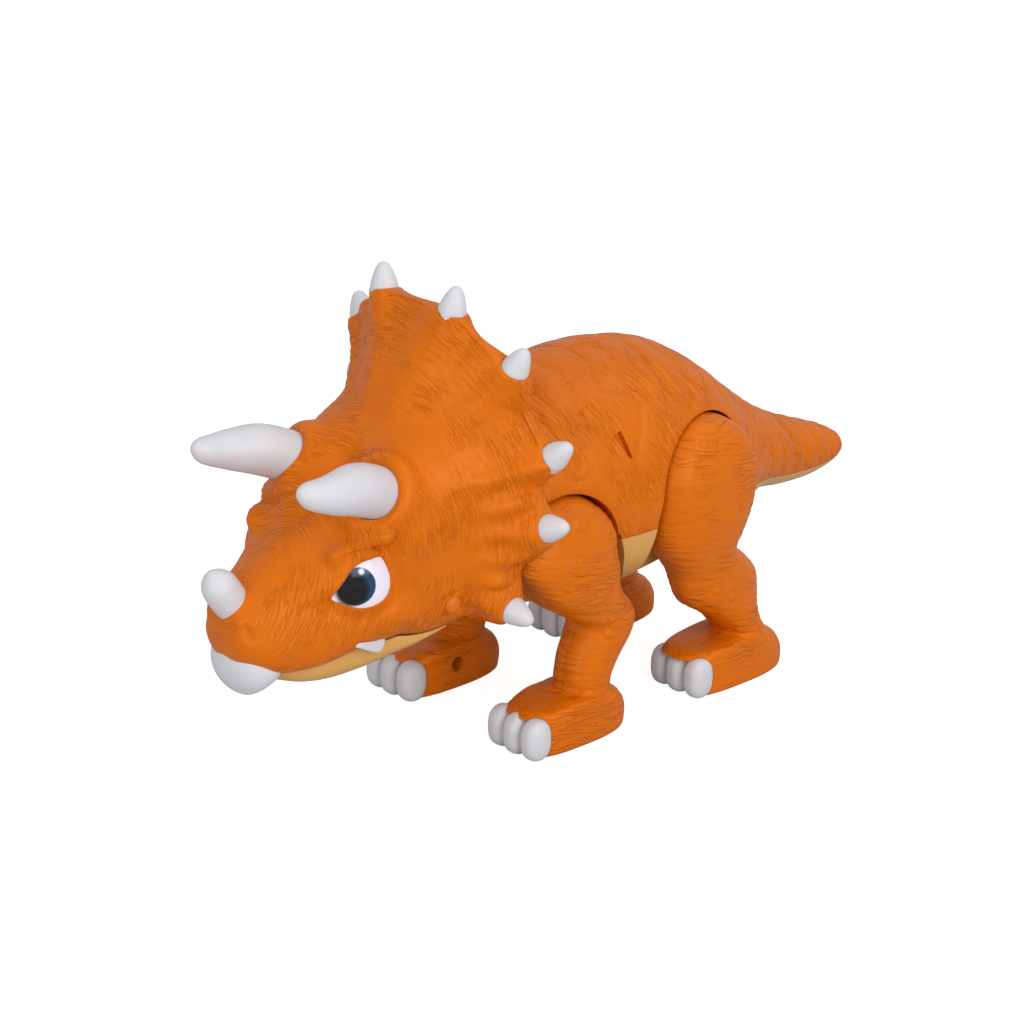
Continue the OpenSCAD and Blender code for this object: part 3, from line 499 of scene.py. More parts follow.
def grid_tree(grid, closed):
    rows, columns = grid.shape[:2]
    return BVHTree.FromPolygons(grid.reshape(-1, 3).tolist(), grid_faces(rows, columns, closed))


def cast(tree, pixels):
    """Where the rays through some pixels first meet a skin."""
    hits = [tree.ray_cast(Vector(camera_eye), Vector(ray)) for ray in photo_rays(pixels)]
    return np.array([hit[0] for hit in hits])


def grid_normals(grid, closed):
    along = np.gradient(grid, axis=0)
    round_it = np.roll(grid, -1, 1) - np.roll(grid, 1, 1) if closed else np.gradient(grid, axis=1)
    normal = np.cross(round_it, along)
    normal /= np.maximum(np.linalg.norm(normal, axis=-1), 1e-9)[..., None]
    middle = grid[len(grid) // 3]
    outside = (normal[len(grid) // 3] * (middle - middle.mean(0))).sum()
    return normal if outside > 0 or not closed else -normal


print("ray through the middle of the photograph:", photo_rays([(PHOTO_SIDE / 2, PHOTO_SIDE / 2)])[0].round(2))

# %% [markdown]
# A brush fades out towards its rim, so that it leaves no step in the skin. The corners of the scales and
# the drift of the wrinkles are drawn at random, from fixed seeds, so they come out the same each time.

# %% Brushes
rng = np.random.default_rng(12)


def smooth_step(low, high, value):
    t = np.clip((value - low) / (high - low), 0, 1)
    return t * t * (3 - 2 * t)


def soft_noise(points, length, seed):
    """Smooth noise between about -1 and 1, made of a few waves in seeded directions."""
    chance = np.random.default_rng(seed)
    total = 0
    for _ in range(7):
        way = chance.normal(size=3)
        way *= 2 * np.pi / (length * chance.uniform(0.7, 1.6) * np.linalg.norm(way))
        total = total + np.sin(points @ way + chance.uniform(0, 2 * np.pi))
    return total / 2.6


def press(height, grid, line, width, depth):
    """Adds a soft ridge along a line and its mirror image, or a groove when the depth is negative."""
    path = rows_along(line, np.linspace(0, len(line) - 1, 14 * (len(line) - 1) + 1))
    for sign in (1, -1):
        here = path * [sign, 1, 1]
        near = np.all((grid > here.min(0) - 3 * width) & (grid < here.max(0) + 3 * width), axis=-1)
        if near.any():
            gap = np.linalg.norm(grid[near][:, None] - here, axis=-1).min(1)
            height[near] += depth * np.exp(-(gap / width) ** 2)


def scale_plate(height, grid, centre, normal, size, corners=6, rise=0.5):
    """Raises a flat scale with a few straight sides, and its mirror image, with a groove round it."""
    turn = (np.arange(corners) + rng.uniform(-0.2, 0.2, corners)) * 2 * np.pi / corners
    reach = size * rng.uniform(0.78, 1.08, corners)
    across = np.cross(normal, [0, 0, 1.0])
    across /= np.linalg.norm(across)
    upward = np.cross(across, normal)
    for sign in (1, -1):
        offset = grid * [sign, 1, 1] - centre
        near = np.linalg.norm(offset, axis=-1) < 2 * size + 2
        flat = np.stack([offset[near] @ across, offset[near] @ upward], -1)
        out = (flat @ np.stack([np.cos(turn), np.sin(turn)]) - reach).max(-1)
        height[near] += rise * np.clip(-out / 0.8, 0, 1) - 0.7 * rise * np.exp(-((out - 0.3) / 0.7) ** 2)


def plates_from_photo(height, grid, tree, plates):
    for u, v, size, corners in plates:
        ray = photo_rays([(u, v)])[0]
        place, normal, _, _ = tree.ray_cast(Vector(camera_eye), Vector(ray))
        normal = np.array(normal) * (-1 if np.dot(normal, ray) > 0 else 1)
        scale_plate(height, grid, np.array(place), normal, size, corners)


def outline_gap(points, outline):
    """Signed distance of flat points to a closed outline, negative inside."""
    outline = np.asarray(outline, float)
    side = np.roll(outline, -1, 0) - outline
    offset = points[..., None, :] - outline
    part = np.clip((offset * side).sum(-1) / (side ** 2).sum(-1), 0, 1)
    gap = np.linalg.norm(offset - part[..., None] * side, axis=-1).min(-1)
    rise = np.where(side[:, 1] == 0, 1e-9, side[:, 1])
    spans = (offset[..., 1] >= 0) != (offset[..., 1] - side[:, 1] >= 0)
    crosses = spans & (offset[..., 0] < side[:, 0] * offset[..., 1] / rise)
    return np.where(crosses.sum(-1) % 2 == 1, -gap, gap)


print("a smooth step in its middle:", smooth_step(0, 1, 0.5))

# %% [markdown]
# ## Body shells and belly
# The body is two orange half shells that meet along the back, over a cream belly pan.
# One surface is worked out for all three, from radii round a curved axis, and each piece takes
# its own slice of it. The leg pockets, the slot in the flank and the screw holes are then cut.

# %% Body sections
# Each row is y, height of the axis, then radii at 0, 45, 90, 135 and 180 degrees from the top
BODY_ROWS = [
    [-84, 97, 22, 22, 21, 22, 23],
    [-71, 95, 26, 26, 27, 27, 27],
    [-58, 93, 32, 33, 35, 36, 36],
    [-42, 91, 37, 39, 40, 43, 43],
    [-20, 90, 44.2, 43.2, 42.6, 46.6, 45],
    [2, 90, 46, 45, 44, 48.4, 46],
    [24, 90, 45.5, 45.3, 44.8, 47.6, 46],
    [44, 90, 42, 43, 43.2, 45, 43],
    [62, 87, 35.5, 37, 39, 39, 36],
    [80, 80, 28.5, 29, 30, 29, 26],
    [97, 74, 22, 22.5, 23, 19, 16],
    [114, 69, 17, 17.5, 18, 15.5, 13],
    [131, 66, 12.5, 13.5, 14.5, 13, 11.5],
    [145, 64, 9, 10, 11, 9.5, 9],
    [153, 63.5, 5, 6, 7, 6, 5.5],
    [156, 63.5, 1, 1, 1, 1, 1],
]
BODY_ROW_COUNT, SHELL_COLUMNS, BELLY_COLUMNS = 260, 120, 80
FLANK_ROW_COUNT, FLANK_COLUMNS = 160, 90
BELLY_ANGLE = 110
WALL = 2.2
FRONT_HIP, FRONT_HIP_RADIUS = (-31, 73), 24
HIND_HIP, HIND_HIP_RADIUS = (41.5, 86), 25
POCKET_GAP = 0.9
POCKET_FLOOR, POCKET_FLOOR_WALL = 21.6, 2.6
FRONT_WAY = [[-56.5, 20], [16.8, 20], [14.8, 36], [7.8, 50], [0.5, 61], [-2.8, 70], [-4.4, 73.5], [-5.6, 77],
             [-9, 76]]
HIND_WAY = [[13, 74], [12.5, 66], [14, 20], [82, 20], [77, 40], [71, 58]]
HUB_RADIUS = 7.08


def body_grid(angles, places, inset=0.0):
    rows = rows_along(BODY_ROWS, places)
    radius = radii_round(rows[:, 2:], angles) - inset
    turn = np.radians(angles)
    y = np.broadcast_to(rows[:, :1], radius.shape)
    return np.stack([radius * np.sin(turn), y, rows[:, 1:2] + radius * np.cos(turn)], -1)


def flank_tree():
    """The plain left flank, for rays to meet."""
    places = np.linspace(0, len(BODY_ROWS) - 1, FLANK_ROW_COUNT)
    return grid_tree(body_grid(np.linspace(0, BELLY_ANGLE, FLANK_COLUMNS), places), False)


def way_outline(hip, radius, way, fore_count, grow):
    shifts = [-grow] * fore_count + [grow] * (len(way) - fore_count)
    ends = [(hip[0] + radius, hip[1]), (hip[0] - radius, hip[1])]
    return ends + [(y + shift, z) for (y, z), shift in zip(way, shifts)]


def pocket_outlines(grow=0.0):
    for hip, hip_radius, way, fore_count in (
        (FRONT_HIP, FRONT_HIP_RADIUS, FRONT_WAY, 1), (HIND_HIP, HIND_HIP_RADIUS, HIND_WAY, 3),
    ):
        radius = hip_radius + POCKET_GAP + grow
        yield circle(hip, radius)
        yield way_outline(hip, radius, way, fore_count, grow)


print("body length in mm:", BODY_ROWS[-1][0] - BODY_ROWS[0][0])

# %% [markdown]
# The flank carries slanting ribs that turn into rings round the tail, a few flat scales, two long
# creases behind the frill, and soft rims where the skin rolls into the leg pockets.

# %% Body relief
# Lines of pixels of the photograph
BODY_CREASES = [
    [(529, 388), (549, 408), (570, 432), (591, 459)], [(529, 404), (541, 418), (554, 436)],
]
# Scales: pixel of the photograph, size and number of corners
BODY_PLATES = [
    (588, 343, 4.2, 6), (589, 418, 4.6, 6), (573, 389, 3.6, 5), (580, 469, 4.2, 5), (657, 492, 3.4, 5),
    (764, 445, 1.3, 4), (772, 452, 1.6, 5), (640, 395, 3.6, 6), (671, 420, 2.6, 5), (800, 452, 1.8, 5),
    (835, 455, 1.5, 5), (700, 385, 3.0, 6), (622, 480, 2.4, 5),
]
CREASE_WIDTH, CREASE_DEPTH = 1.4, 0.8
RIB_PITCH, TAIL_RIB_PITCH, TAIL_Y = 14.0, 9.0, 66
RIB_LEAN, RIB_SWAY = 0.38, 1.3
RIB_HEIGHT, RIB_UPPER_HEIGHT = 0.08, 0.3
BODY_SWELL = 0.2
POCKET_ROLL, POCKET_ROLL_WIDTH = 0.7, 2.2
SEAM_DEPTH, SEAM_WIDTH = 0.35, 0.9


def body_relief(grid, angles):
    height = BODY_SWELL * soft_noise(grid, 34, 5)
    axis = rows_along(BODY_ROWS, np.linspace(0, len(BODY_ROWS) - 1, len(grid)))[:, 1:2]
    y, z = grid[..., 1], grid[..., 2] - axis
    lean = -RIB_LEAN * smooth_step(100, 40, y)
    way = y + lean * z + RIB_SWAY * soft_noise(grid, 26, 8)
    phase = way / RIB_PITCH + np.maximum(way - TAIL_Y, 0) * (1 / TAIL_RIB_PITCH - 1 / RIB_PITCH)
    wave = np.abs(np.sin(np.pi * phase))
    upper = smooth_step(-8, 22, z + 14 * smooth_step(60, 110, y) + 6 * soft_noise(grid, 22, 9))
    height += (RIB_HEIGHT + RIB_UPPER_HEIGHT * upper) * (wave - 1.6 * np.exp(-(wave / 0.2) ** 2))
    tree = flank_tree()
    for line in BODY_CREASES:
        press(height, grid, cast(tree, line), CREASE_WIDTH, -CREASE_DEPTH)
    plates_from_photo(height, grid, tree, BODY_PLATES)
    flat = grid[..., 1:]
    gap = np.min([outline_gap(flat, outline) for outline in pocket_outlines()], axis=0)
    height *= smooth_step(0, 6, gap)
    outside = np.abs(grid[..., 0]) > POCKET_FLOOR - 3
    height -= POCKET_ROLL * (1 - np.clip(gap / POCKET_ROLL_WIDTH, 0, 1)) ** 2 * outside
    radius = np.hypot(grid[..., 0], z)
    edge = np.minimum(np.abs(angles - angles[0]), np.abs(angles - angles[-1])) * np.pi / 180 * radius
    height = height * smooth_step(0, 2.5, edge) - SEAM_DEPTH * (1 - smooth_step(0, SEAM_WIDTH, edge))
    return height * smooth_step(2, 9, radius)


def body_slice(name, first_angle, last_angle, columns, relief):
    places = np.linspace(0, len(BODY_ROWS) - 1, BODY_ROW_COUNT)
    angles = np.linspace(first_angle, last_angle, columns)
    skin = body_grid(angles, places)
    rows = rows_along(BODY_ROWS, places)
    axis = np.stack([0 * places, rows[:, 0], rows[:, 1]], -1)[:, None]
    if relief:
        outward = skin - axis
        outward /= np.linalg.norm(outward, axis=-1)[..., None]
        skin = skin + outward * body_relief(skin, angles)[..., None]
    points, faces = tube_mesh(np.concatenate([axis, skin], 1))
    return solid(name, points, faces)


def body_hollow():
    places = np.linspace(0.25, len(BODY_ROWS) - 3, 50)
    return solid("hollow", *tube_mesh(body_grid(np.arange(0, 360, 6), places, WALL)))


print("scales on each flank:", len(BODY_PLATES))

# %% [markdown]
# Each slice is hollowed by the same inner loft, from which the leg pockets' own walls are kept.
# The slot in the left flank is a shallow recess, so its cutter leans the way the skin does there.

# %% Body shells
SCREWS = [(-45, 113), (12, 127), (74, 104), (104, 79), (131, 71)]
SCREW_HEAD_RADIUS = 2.9
SLOT_PLACE, SLOT_TILT = (0, -1.0, 109.5), math.radians(18)
SLOT_DEPTH, SLOT_PROBE = 2.2, 4
SLOT_OUTLINE = [(-2.4, 5.0), (1.9, 5.0), (0.8, -5.2), (-0.3, -5.2)]


def pocket_cutters(grow=0.0, floor_grow=0.0):
    made = []
    for outline in pocket_outlines(grow):
        for side in (1, -1):
            cutter = prism(outline, POCKET_FLOOR - floor_grow, POCKET_FLOOR + 60)
            made.append(cutter if side > 0 else mirrored(cutter))
    return made


def shelled(made):
    hollow = cut(body_hollow(), *pocket_cutters(WALL, POCKET_FLOOR_WALL))
    bores = [prism(circle(hip, HUB_RADIUS, 48), -30, 30) for hip in (FRONT_HIP, HIND_HIP)]
    return cut(made, hollow, *pocket_cutters(), *bores)


def flank_slot():
    skin = flank_tree()
    _, y, z = SLOT_PLACE
    low_x, middle_x, high_x = (
        skin.ray_cast(Vector((90, y, z + rise)), Vector((-1, 0, 0)))[0].x
        for rise in (-SLOT_PROBE, 0, SLOT_PROBE)
    )
    slot = prism(SLOT_OUTLINE, middle_x - SLOT_DEPTH, middle_x + 6, SLOT_PLACE, SLOT_TILT)
    for vertex in slot.data.vertices:
        vertex.co.x += (high_x - low_x) / (2 * SLOT_PROBE) * (vertex.co.z - z * MM)
    return slot


left_shell = shelled(body_slice("body_left_skin", 0, BELLY_ANGLE, SHELL_COLUMNS, True))
cut(left_shell, flank_slot())
finish_piece(left_shell, ORANGE_BODY, "body", ["body_left_shell"])

right_shell = shelled(body_slice("body_right_skin", 0, -BELLY_ANGLE, SHELL_COLUMNS, True))
cut(right_shell, *[prism(circle(place, SCREW_HEAD_RADIUS, 32), -60, -5) for place in SCREWS])
finish_piece(right_shell, ORANGE_BODY, "body", ["body_right_shell"])

# %% [markdown]
# The belly pan is the cream slice under the shells. It has a battery door, held by one screw, and a
# small slot for the switch. The door is the same slice kept only inside its opening, a little smaller.

# %% Belly and battery door
DOOR_LOW, DOOR_HIGH, DOOR_GAP = (-15, -26, 30), (15, 37, 55), 0.25
DOOR_SCREW_Y, DOOR_SCREW_RADIUS, DOOR_SCREW_FLOOR = 33.6, 3.2, 45.6
KNOB_Y, KNOB_TRAVEL = 60.2, 5


def belly_slice(name):
    return shelled(body_slice(name, BELLY_ANGLE, 360 - BELLY_ANGLE, BELLY_COLUMNS, False))


belly = belly_slice("belly_skin")
knob_slot = block((-2.2, KNOB_Y - 2.7, 40), (2.2, KNOB_Y + KNOB_TRAVEL + 2.7, 60))
cut(belly, block(DOOR_LOW, DOOR_HIGH), knob_slot)
finish_piece(belly, CREAM, "body", ["belly_pan"])

door = belly_slice("battery_door_skin")
door_low = (DOOR_LOW[0] + DOOR_GAP, DOOR_LOW[1] + DOOR_GAP, DOOR_LOW[2])
door_high = (DOOR_HIGH[0] - DOOR_GAP, DOOR_HIGH[1] - DOOR_GAP, DOOR_HIGH[2])
cut(door, block(door_low, door_high), operation="INTERSECT")
cut(door, post((0, DOOR_SCREW_Y), DOOR_SCREW_RADIUS, 30, DOOR_SCREW_FLOOR))
finish_piece(door, CREAM, "body", ["battery_door"])

# %% [markdown]
# ## Legs
# Each leg is two moulded halves screwed together, round at the hip and with a broad foot.
# A leg could be sculpted by hand, but rounded-square sections down its length give the same form
# and stay inside the space the CAD leg swings in. One skin stands for both halves.

# %% Leg sections
# Each row is z, y of the axis, reach to the front, to the side and to the back, and squareness
HIND_ROWS = [
    [110.9, 41.5, 1.5, 1.5, 1.5, 2],
    [108.7, 41.5, 10.2, 8, 10.2, 2.2],
    [102, 41.5, 19, 12.5, 19, 2.8],
    [93, 41.5, 23.8, 14.8, 23.8, 3.2],
    [84, 41.5, 24.8, 15.2, 24.6, 3.2],
    [75, 41.5, 25.3, 15, 23.5, 3],
    [68, 41.5, 24.6, 14.4, 21.3, 2.8],
    [62, 41.5, 21.6, 13.6, 19.4, 2.6],
    [56, 42.3, 17.6, 12.8, 16, 2.4],
    [50, 46, 17.3, 12, 18.5, 2.3],
    [43, 50, 19.2, 11.6, 20.7, 2.2],
    [36, 53, 18.5, 11.2, 19, 2.2],
    [29, 58, 13.6, 10.8, 14, 2.2],
    [23, 62, 10.7, 10.8, 11, 2.2],
    [18.5, 63.5, 9.5, 11.4, 11.5, 2.2],
    [17.5, 56, 21.6, 13, 18.5, 2.6],
    [14, 54, 26, 13.4, 26, 2.8],
    [8, 54, 26.5, 13.4, 30, 2.8],
    [1.5, 54, 26.5, 13.4, 30, 2.8],
    [0, 54, 25.5, 12.6, 28.5, 2.8],
]
FRONT_ROWS = [
    [96.9, -31, 1.5, 1.5, 1.5, 2],
    [94.7, -31, 10, 8, 10, 2.2],
    [88.5, -31, 18, 12.5, 18, 2.8],
    [80, -31, 22.8, 14.8, 22.8, 3.2],
    [73, -31, 23.6, 15.2, 23.8, 3.2],
    [66, -27.5, 20.5, 15, 22.3, 3],
    [60, -24.5, 19, 14.6, 19.5, 2.8],
    [54, -20, 17.7, 13.8, 17.5, 2.5],
    [48.5, -13.6, 15.9, 12.8, 15.9, 2.3],
    [43, -9, 12.5, 12.2, 13.7, 2.2],
    [37, -10.3, 13.5, 11.6, 13.6, 2.2],
    [30, -14, 12.8, 11, 13, 2.2],
    [23, -17.2, 10.9, 10.8, 10.9, 2.2],
    [18.5, -18.8, 10.8, 11.2, 11, 2.2],
    [17.4, -25, 20.8, 13, 16, 2.6],
    [14, -28, 24.5, 13.4, 24, 2.8],
    [8, -29, 24.5, 13.4, 28.5, 2.8],
    [1.5, -29, 24.5, 13.4, 28, 2.8],
    [0, -29, 23.5, 12.6, 26.5, 2.8],
]
LEG_X = 35.5
LEG_INSIDE = 13.2
LEG_COLUMNS = 112
LEG_ROW_COUNT = 150


def leg_grid(rows):
    row = rows_along(rows, np.linspace(0, len(rows) - 1, LEG_ROW_COUNT))[:, :, None]
    turn = np.arange(LEG_COLUMNS) * 2 * np.pi / LEG_COLUMNS
    fore = np.where(np.cos(turn) > 0, row[:, 2], row[:, 4])
    wide = np.where(np.sin(turn) > 0, row[:, 3], np.minimum(row[:, 3], LEG_INSIDE))
    power = row[:, 5]
    radius = ((np.abs(np.cos(turn)) / fore) ** power + (np.abs(np.sin(turn)) / wide) ** power) ** (-1 / power)
    z = np.broadcast_to(row[:, 0], radius.shape)
    return np.stack([LEG_X + radius * np.sin(turn), row[:, 1] - radius * np.cos(turn), z], -1)


print("tops of the legs in mm:", HIND_ROWS[0][0], FRONT_ROWS[0][0])

# %% [markdown]
# The thigh has flat scales and level wrinkles, the knee and the ankle have folds, and a fine line down
# the front and the back shows where the two halves of the moulding meet.

# %% Leg relief
# Scales: pixel of the photograph, size and number of corners
LEG_PLATES = {
    "hind": [
        (710, 446, 4.4, 6), (713, 468, 3.1, 5), (704, 487, 3.9, 5), (742, 497, 1.3, 4), (742, 508, 1.2, 4),
        (717, 591, 1.8, 5), (732, 597, 2.2, 5),
    ],
    "front": [
        (582, 522, 4.4, 7), (584, 571, 2.4, 3), (573, 587, 3.0, 3), (612, 621, 1.6, 4), (609, 635, 1.9, 4),
    ],
}
# Folds: line of pixels of the photograph, width and height
LEG_FOLDS = {
    "hind": [
        ([(669, 575), (686, 582), (706, 583)], 1.1, -0.5),
        ([(720, 636), (729, 639), (739, 637)], 2.2, 0.5),
        ([(676, 598), (696, 604), (716, 611)], 1.2, -0.4),
        ([(735, 560), (728, 570), (731, 583)], 1.2, -0.4),
    ],
    "front": [
        ([(551, 699), (563, 702), (576, 700)], 2.2, 0.5),
        ([(572, 616), (590, 617), (612, 614)], 1.6, -0.5),
        ([(556, 562), (572, 559), (590, 561)], 0.9, -0.3),
    ],
}
WRINKLE_PITCH, WRINKLE_DEPTH = 3.2, 0.3
LEG_SWELL = 0.2
PARTING_DEPTH, PARTING_WIDTH = 0.3, 0.6


def leg_relief(grid, pair):
    x, y, z = grid[..., 0], grid[..., 1], grid[..., 2]
    wave = np.abs(np.sin(np.pi * (z + 0.12 * y + 1.2 * soft_noise(grid, 17, 3)) / WRINKLE_PITCH))
    height = -WRINKLE_DEPTH * np.exp(-(wave / 0.45) ** 2) * smooth_step(-0.3, 0.5, soft_noise(grid, 24, 4))
    height += LEG_SWELL * soft_noise(grid, 20, 6) - LEG_SWELL / 2
    height *= smooth_step(4, 16, z)
    tree = grid_tree(grid, True)
    for line, width, depth in LEG_FOLDS[pair]:
        press(height, grid, cast(tree, line), width, depth)
    plates_from_photo(height, grid, tree, LEG_PLATES[pair])
    height -= PARTING_DEPTH * np.exp(-((x - LEG_X) / PARTING_WIDTH) ** 2)
    count = np.arange(len(grid))
    return height * (smooth_step(0, 14, count) * smooth_step(0, 6, count[::-1]))[:, None]


print("scales on a leg of each pair:", {pair: len(plates) for pair, plates in LEG_PLATES.items()})

# %% [markdown]
# The toes end in a lip that arches over three claws. The lip is what is left when a block and three
# pebbles, a little larger than the claws, are cut from the front of the foot. At the hip, a
# round hub reaches in to the body.

# %% Legs
HIND_TOE, FRONT_TOE = 34.5, -49.5
TOE_TOP = 15.0
CLAW_SIZE = np.array([4.7, 5.9, 8.2])
CLAW_PITCH, CLAW_STEP, CLAW_MIDDLE, CLAW_GAP = 9.0, 0.6, 7.6, 0.12
CLAW_SQUARE = 0.72
POLE = 0.02
HIND_SCREWS = [(55, 32), (58, 10)]
FRONT_SCREWS = [(-12, 40), (-29, 10)]
LEG_SCREW_WELL = 3
HUB_GAP = 0.08
HUB_INNER_X = {"hind": 16.2, "front": 18.6}


def ellipsoid(size, rows=32, columns=48, square=1.0):
    """Rings of an ellipsoid round the y axis, from its front to its back; below one, square makes it boxy."""
    lat = np.linspace(POLE, np.pi - POLE, rows)[:, None]
    turn = np.arange(columns)[None, :] * 2 * np.pi / columns
    ring = np.sin(lat) ** square
    wide = np.sign(np.cos(turn)) * np.abs(np.cos(turn)) ** square
    tall = np.sign(np.sin(turn)) * np.abs(np.sin(turn)) ** square
    return np.stack([size[0] * ring * wide, -size[1] * np.cos(lat) + 0 * turn, size[2] * ring * tall], -1)


def claw_places(toe):
    return [np.array([LEG_X + CLAW_PITCH * k, toe + CLAW_STEP * abs(k), CLAW_MIDDLE]) for k in (-1, 0, 1)]


def make_leg(side, pair, rows, hip, toe, screws):
    grid = leg_grid(rows)
    grid = grid + grid_normals(grid, True) * leg_relief(grid, pair)[..., None]
    leg = solid(f"{side}_{pair}_leg_skin", *tube_mesh(grid))
    beds = [solid("cutter", *tube_mesh(ellipsoid(CLAW_SIZE + CLAW_GAP, square=CLAW_SQUARE) + place))
            for place in claw_places(toe)]
    cut(leg, block((0, toe - 40, -1), (70, toe, TOE_TOP)), *beds,
        *[prism(circle(place, LEG_SCREW_WELL, 32), 0, LEG_X - 4) for place in screws])
    cut(leg, prism(circle(hip, HUB_RADIUS - HUB_GAP, 48), HUB_INNER_X[pair], LEG_X - 8), operation="UNION")
    names = [f"{side}_{pair}_leg_outer", f"{side}_{pair}_leg_inner"]
    return finish_piece(on_side(leg, side), ORANGE_LEG, f"{side}_{pair}_leg", names)


for side in ("left", "right"):
    make_leg(side, "hind", HIND_ROWS, HIND_HIP, HIND_TOE, HIND_SCREWS)
    make_leg(side, "front", FRONT_ROWS, FRONT_HIP, FRONT_TOE, FRONT_SCREWS)

# %% [markdown]
# A claw is a rounded pebble that stands on the floor, with its back under the lip of the toes. Each is a
# boxy ellipsoid, pressed level at the floor, and the three of a foot are one white moulding.

# %% Claws
def make_claws(side, pair, toe):
    meshes = []
    for place in claw_places(toe):
        rings = ellipsoid(CLAW_SIZE, square=CLAW_SQUARE) + place
        rings[..., 2] = np.maximum(rings[..., 2], 0)
        meshes.append(tube_mesh(rings))
    claws = on_side(solid(f"{side}_{pair}_claws_skin", *joined(meshes)), side)
    return finish_piece(claws, WHITE, f"{side}_{pair}_leg", [f"{side}_{pair}_claws"])


for side in ("left", "right"):
    make_claws(side, "hind", HIND_TOE)
    make_claws(side, "front", FRONT_TOE)

# %% [markdown]
# ## Head and frill
# The skull and the frill are one moulding. Its loft starts at the muzzle, runs back over the skull,
# out over the front of the frill, round the rim and in again behind it, to the hollow of the head.
# So one grid carries the whole face, and folds can run from the cheek on to the frill.

# %% Head sections
# Each row is y, height of the axis, then radii every 30 degrees from the top to the palate
SKULL_ROWS = [
    [-158, 67.5, 3, 3, 3, 3.5, 4, 4, 3.5],
    [-156.5, 68.2, 8.6, 8.8, 9, 10, 11, 11.2, 10],
    [-152.5, 69.3, 11, 11.8, 13, 14.5, 17, 16, 13.6],
    [-147, 70.3, 13, 14.5, 16.5, 18, 21.5, 19, 16],
    [-138, 72, 17, 18, 20, 21, 25, 20.2, 18],
    [-126, 76, 22, 23, 26, 25.5, 29.4, 23.6, 21],
    [-117, 80, 23, 34, 32, 28, 32.4, 26.6, 24],
    [-107, 83, 26, 42, 38, 31, 36, 30.5, 26],
    [-99, 85, 27, 40, 40, 34, 38, 31, 26.5],
]
# Root of the frill: angle from the top, radius, y
ROOT = np.array([[0, 30, -92], [30, 39, -90], [60, 40, -87], [90, 38, -81], [112, 39.5, -76.5],
                 [123, 42, -73.5], [133, 43, -72.5], [144, 35, -74], [154, 28, -76], [180, 25, -76]])
# Edge of the frill: angle from the top, radius, y, thickness; a spike stands on each thick place
EDGE = np.array([
    [0, 82.5, -69, 4.5], [12.7, 83.5, -71, 10], [22, 80, -65.5, 4.5], [33.3, 75.8, -62, 10],
    [45.6, 65.8, -56.5, 4.5], [58.6, 62, -54, 10], [68, 52, -53.5, 4.5], [83.4, 53, -56.5, 10],
    [105, 45.5, -59.5, 4.5], [119.6, 51, -65, 10], [136, 44, -67, 4.5], [152, 30, -72, 4], [180, 25, -73, 4],
])
# Face of the frill inside its edge: angle from the top, radius, y, with a fold at the first spike
FACE = np.array([[0, 82.5, -70.6], [11, 83, -71], [33.3, 75.8, -62], [58.6, 62, -54.2], [83.4, 53, -56],
                 [119.6, 50, -64.5], [152, 31, -71.5], [180, 25, -73]])
SPIKE_ANGLES = [12.7, 33.3, 58.6, 83.4, 119.6]
FOLD_ANGLES = [33.3, 58.6, 71, 83.4, 95, 107, 119.6]
NECK_ROW = np.array([[-95, 86, 29, 33, 35, 34.5, 36, 30, 26]])
HEAD_WALL = 2.6
HEAD_COLUMNS = 480
head_angles = np.arange(HEAD_COLUMNS) * 360 / HEAD_COLUMNS
head_turn = np.radians(head_angles)
fold_angles = np.abs((head_angles + 180) % 360 - 180)
print("longest reach of the frill from its axis in mm:", EDGE[:, 1].max())

# %% [markdown]
# The tables give the frill at a few angles only. Between these keys its scalloped edge runs in waves that
# are level at each key, and its root and its face run straight, softened over a few degrees.

# %% Rings of the head
def keyed(table, column):
    """A column of a keyed table at every angle of the head, level at each key."""
    first = np.clip(np.searchsorted(table[:, 0], fold_angles, "right") - 1, 0, len(table) - 2)
    part = (fold_angles - table[first, 0]) / (table[first + 1, 0] - table[first, 0])
    weight = (1 - np.cos(np.pi * part)) / 2
    return table[first, column] * (1 - weight) + table[first + 1, column] * weight


def straight_keyed(table, column, blur=3.0):
    """A column of a keyed table in straight steps between the keys, softened over a few degrees."""
    values = np.interp(fold_angles, table[:, 0], table[:, column])
    reach = int(3 * blur * HEAD_COLUMNS / 360)
    weights = [math.exp(-(k * 360 / HEAD_COLUMNS / blur) ** 2) for k in range(-reach, reach + 1)]
    total = sum(weight * np.roll(values, k) for weight, k in zip(weights, range(-reach, reach + 1)))
    return total / sum(weights)


def polar_ring(radius, y):
    return np.stack([radius * np.sin(head_turn), y, HEAD_AXIS + radius * np.cos(head_turn)], -1)


def skull_rings(rows, inset=0.0):
    radius = radii_round(rows[:, 2:], head_angles) - inset
    y = np.broadcast_to(rows[:, :1], radius.shape)
    return np.stack([radius * np.sin(head_turn), y, rows[:, 1:2] + radius * np.cos(head_turn)], -1)


print("columns of the head:", HEAD_COLUMNS)

# %% [markdown]
# The rings are stacked into one grid now. The front of the frill is a bowed sheet from root to edge, the
# rim is half a turn round the edge, and the back is the front again, set behind it by its thickness.
# At last the lip is let hang a little, as far as the photograph shows at each place.

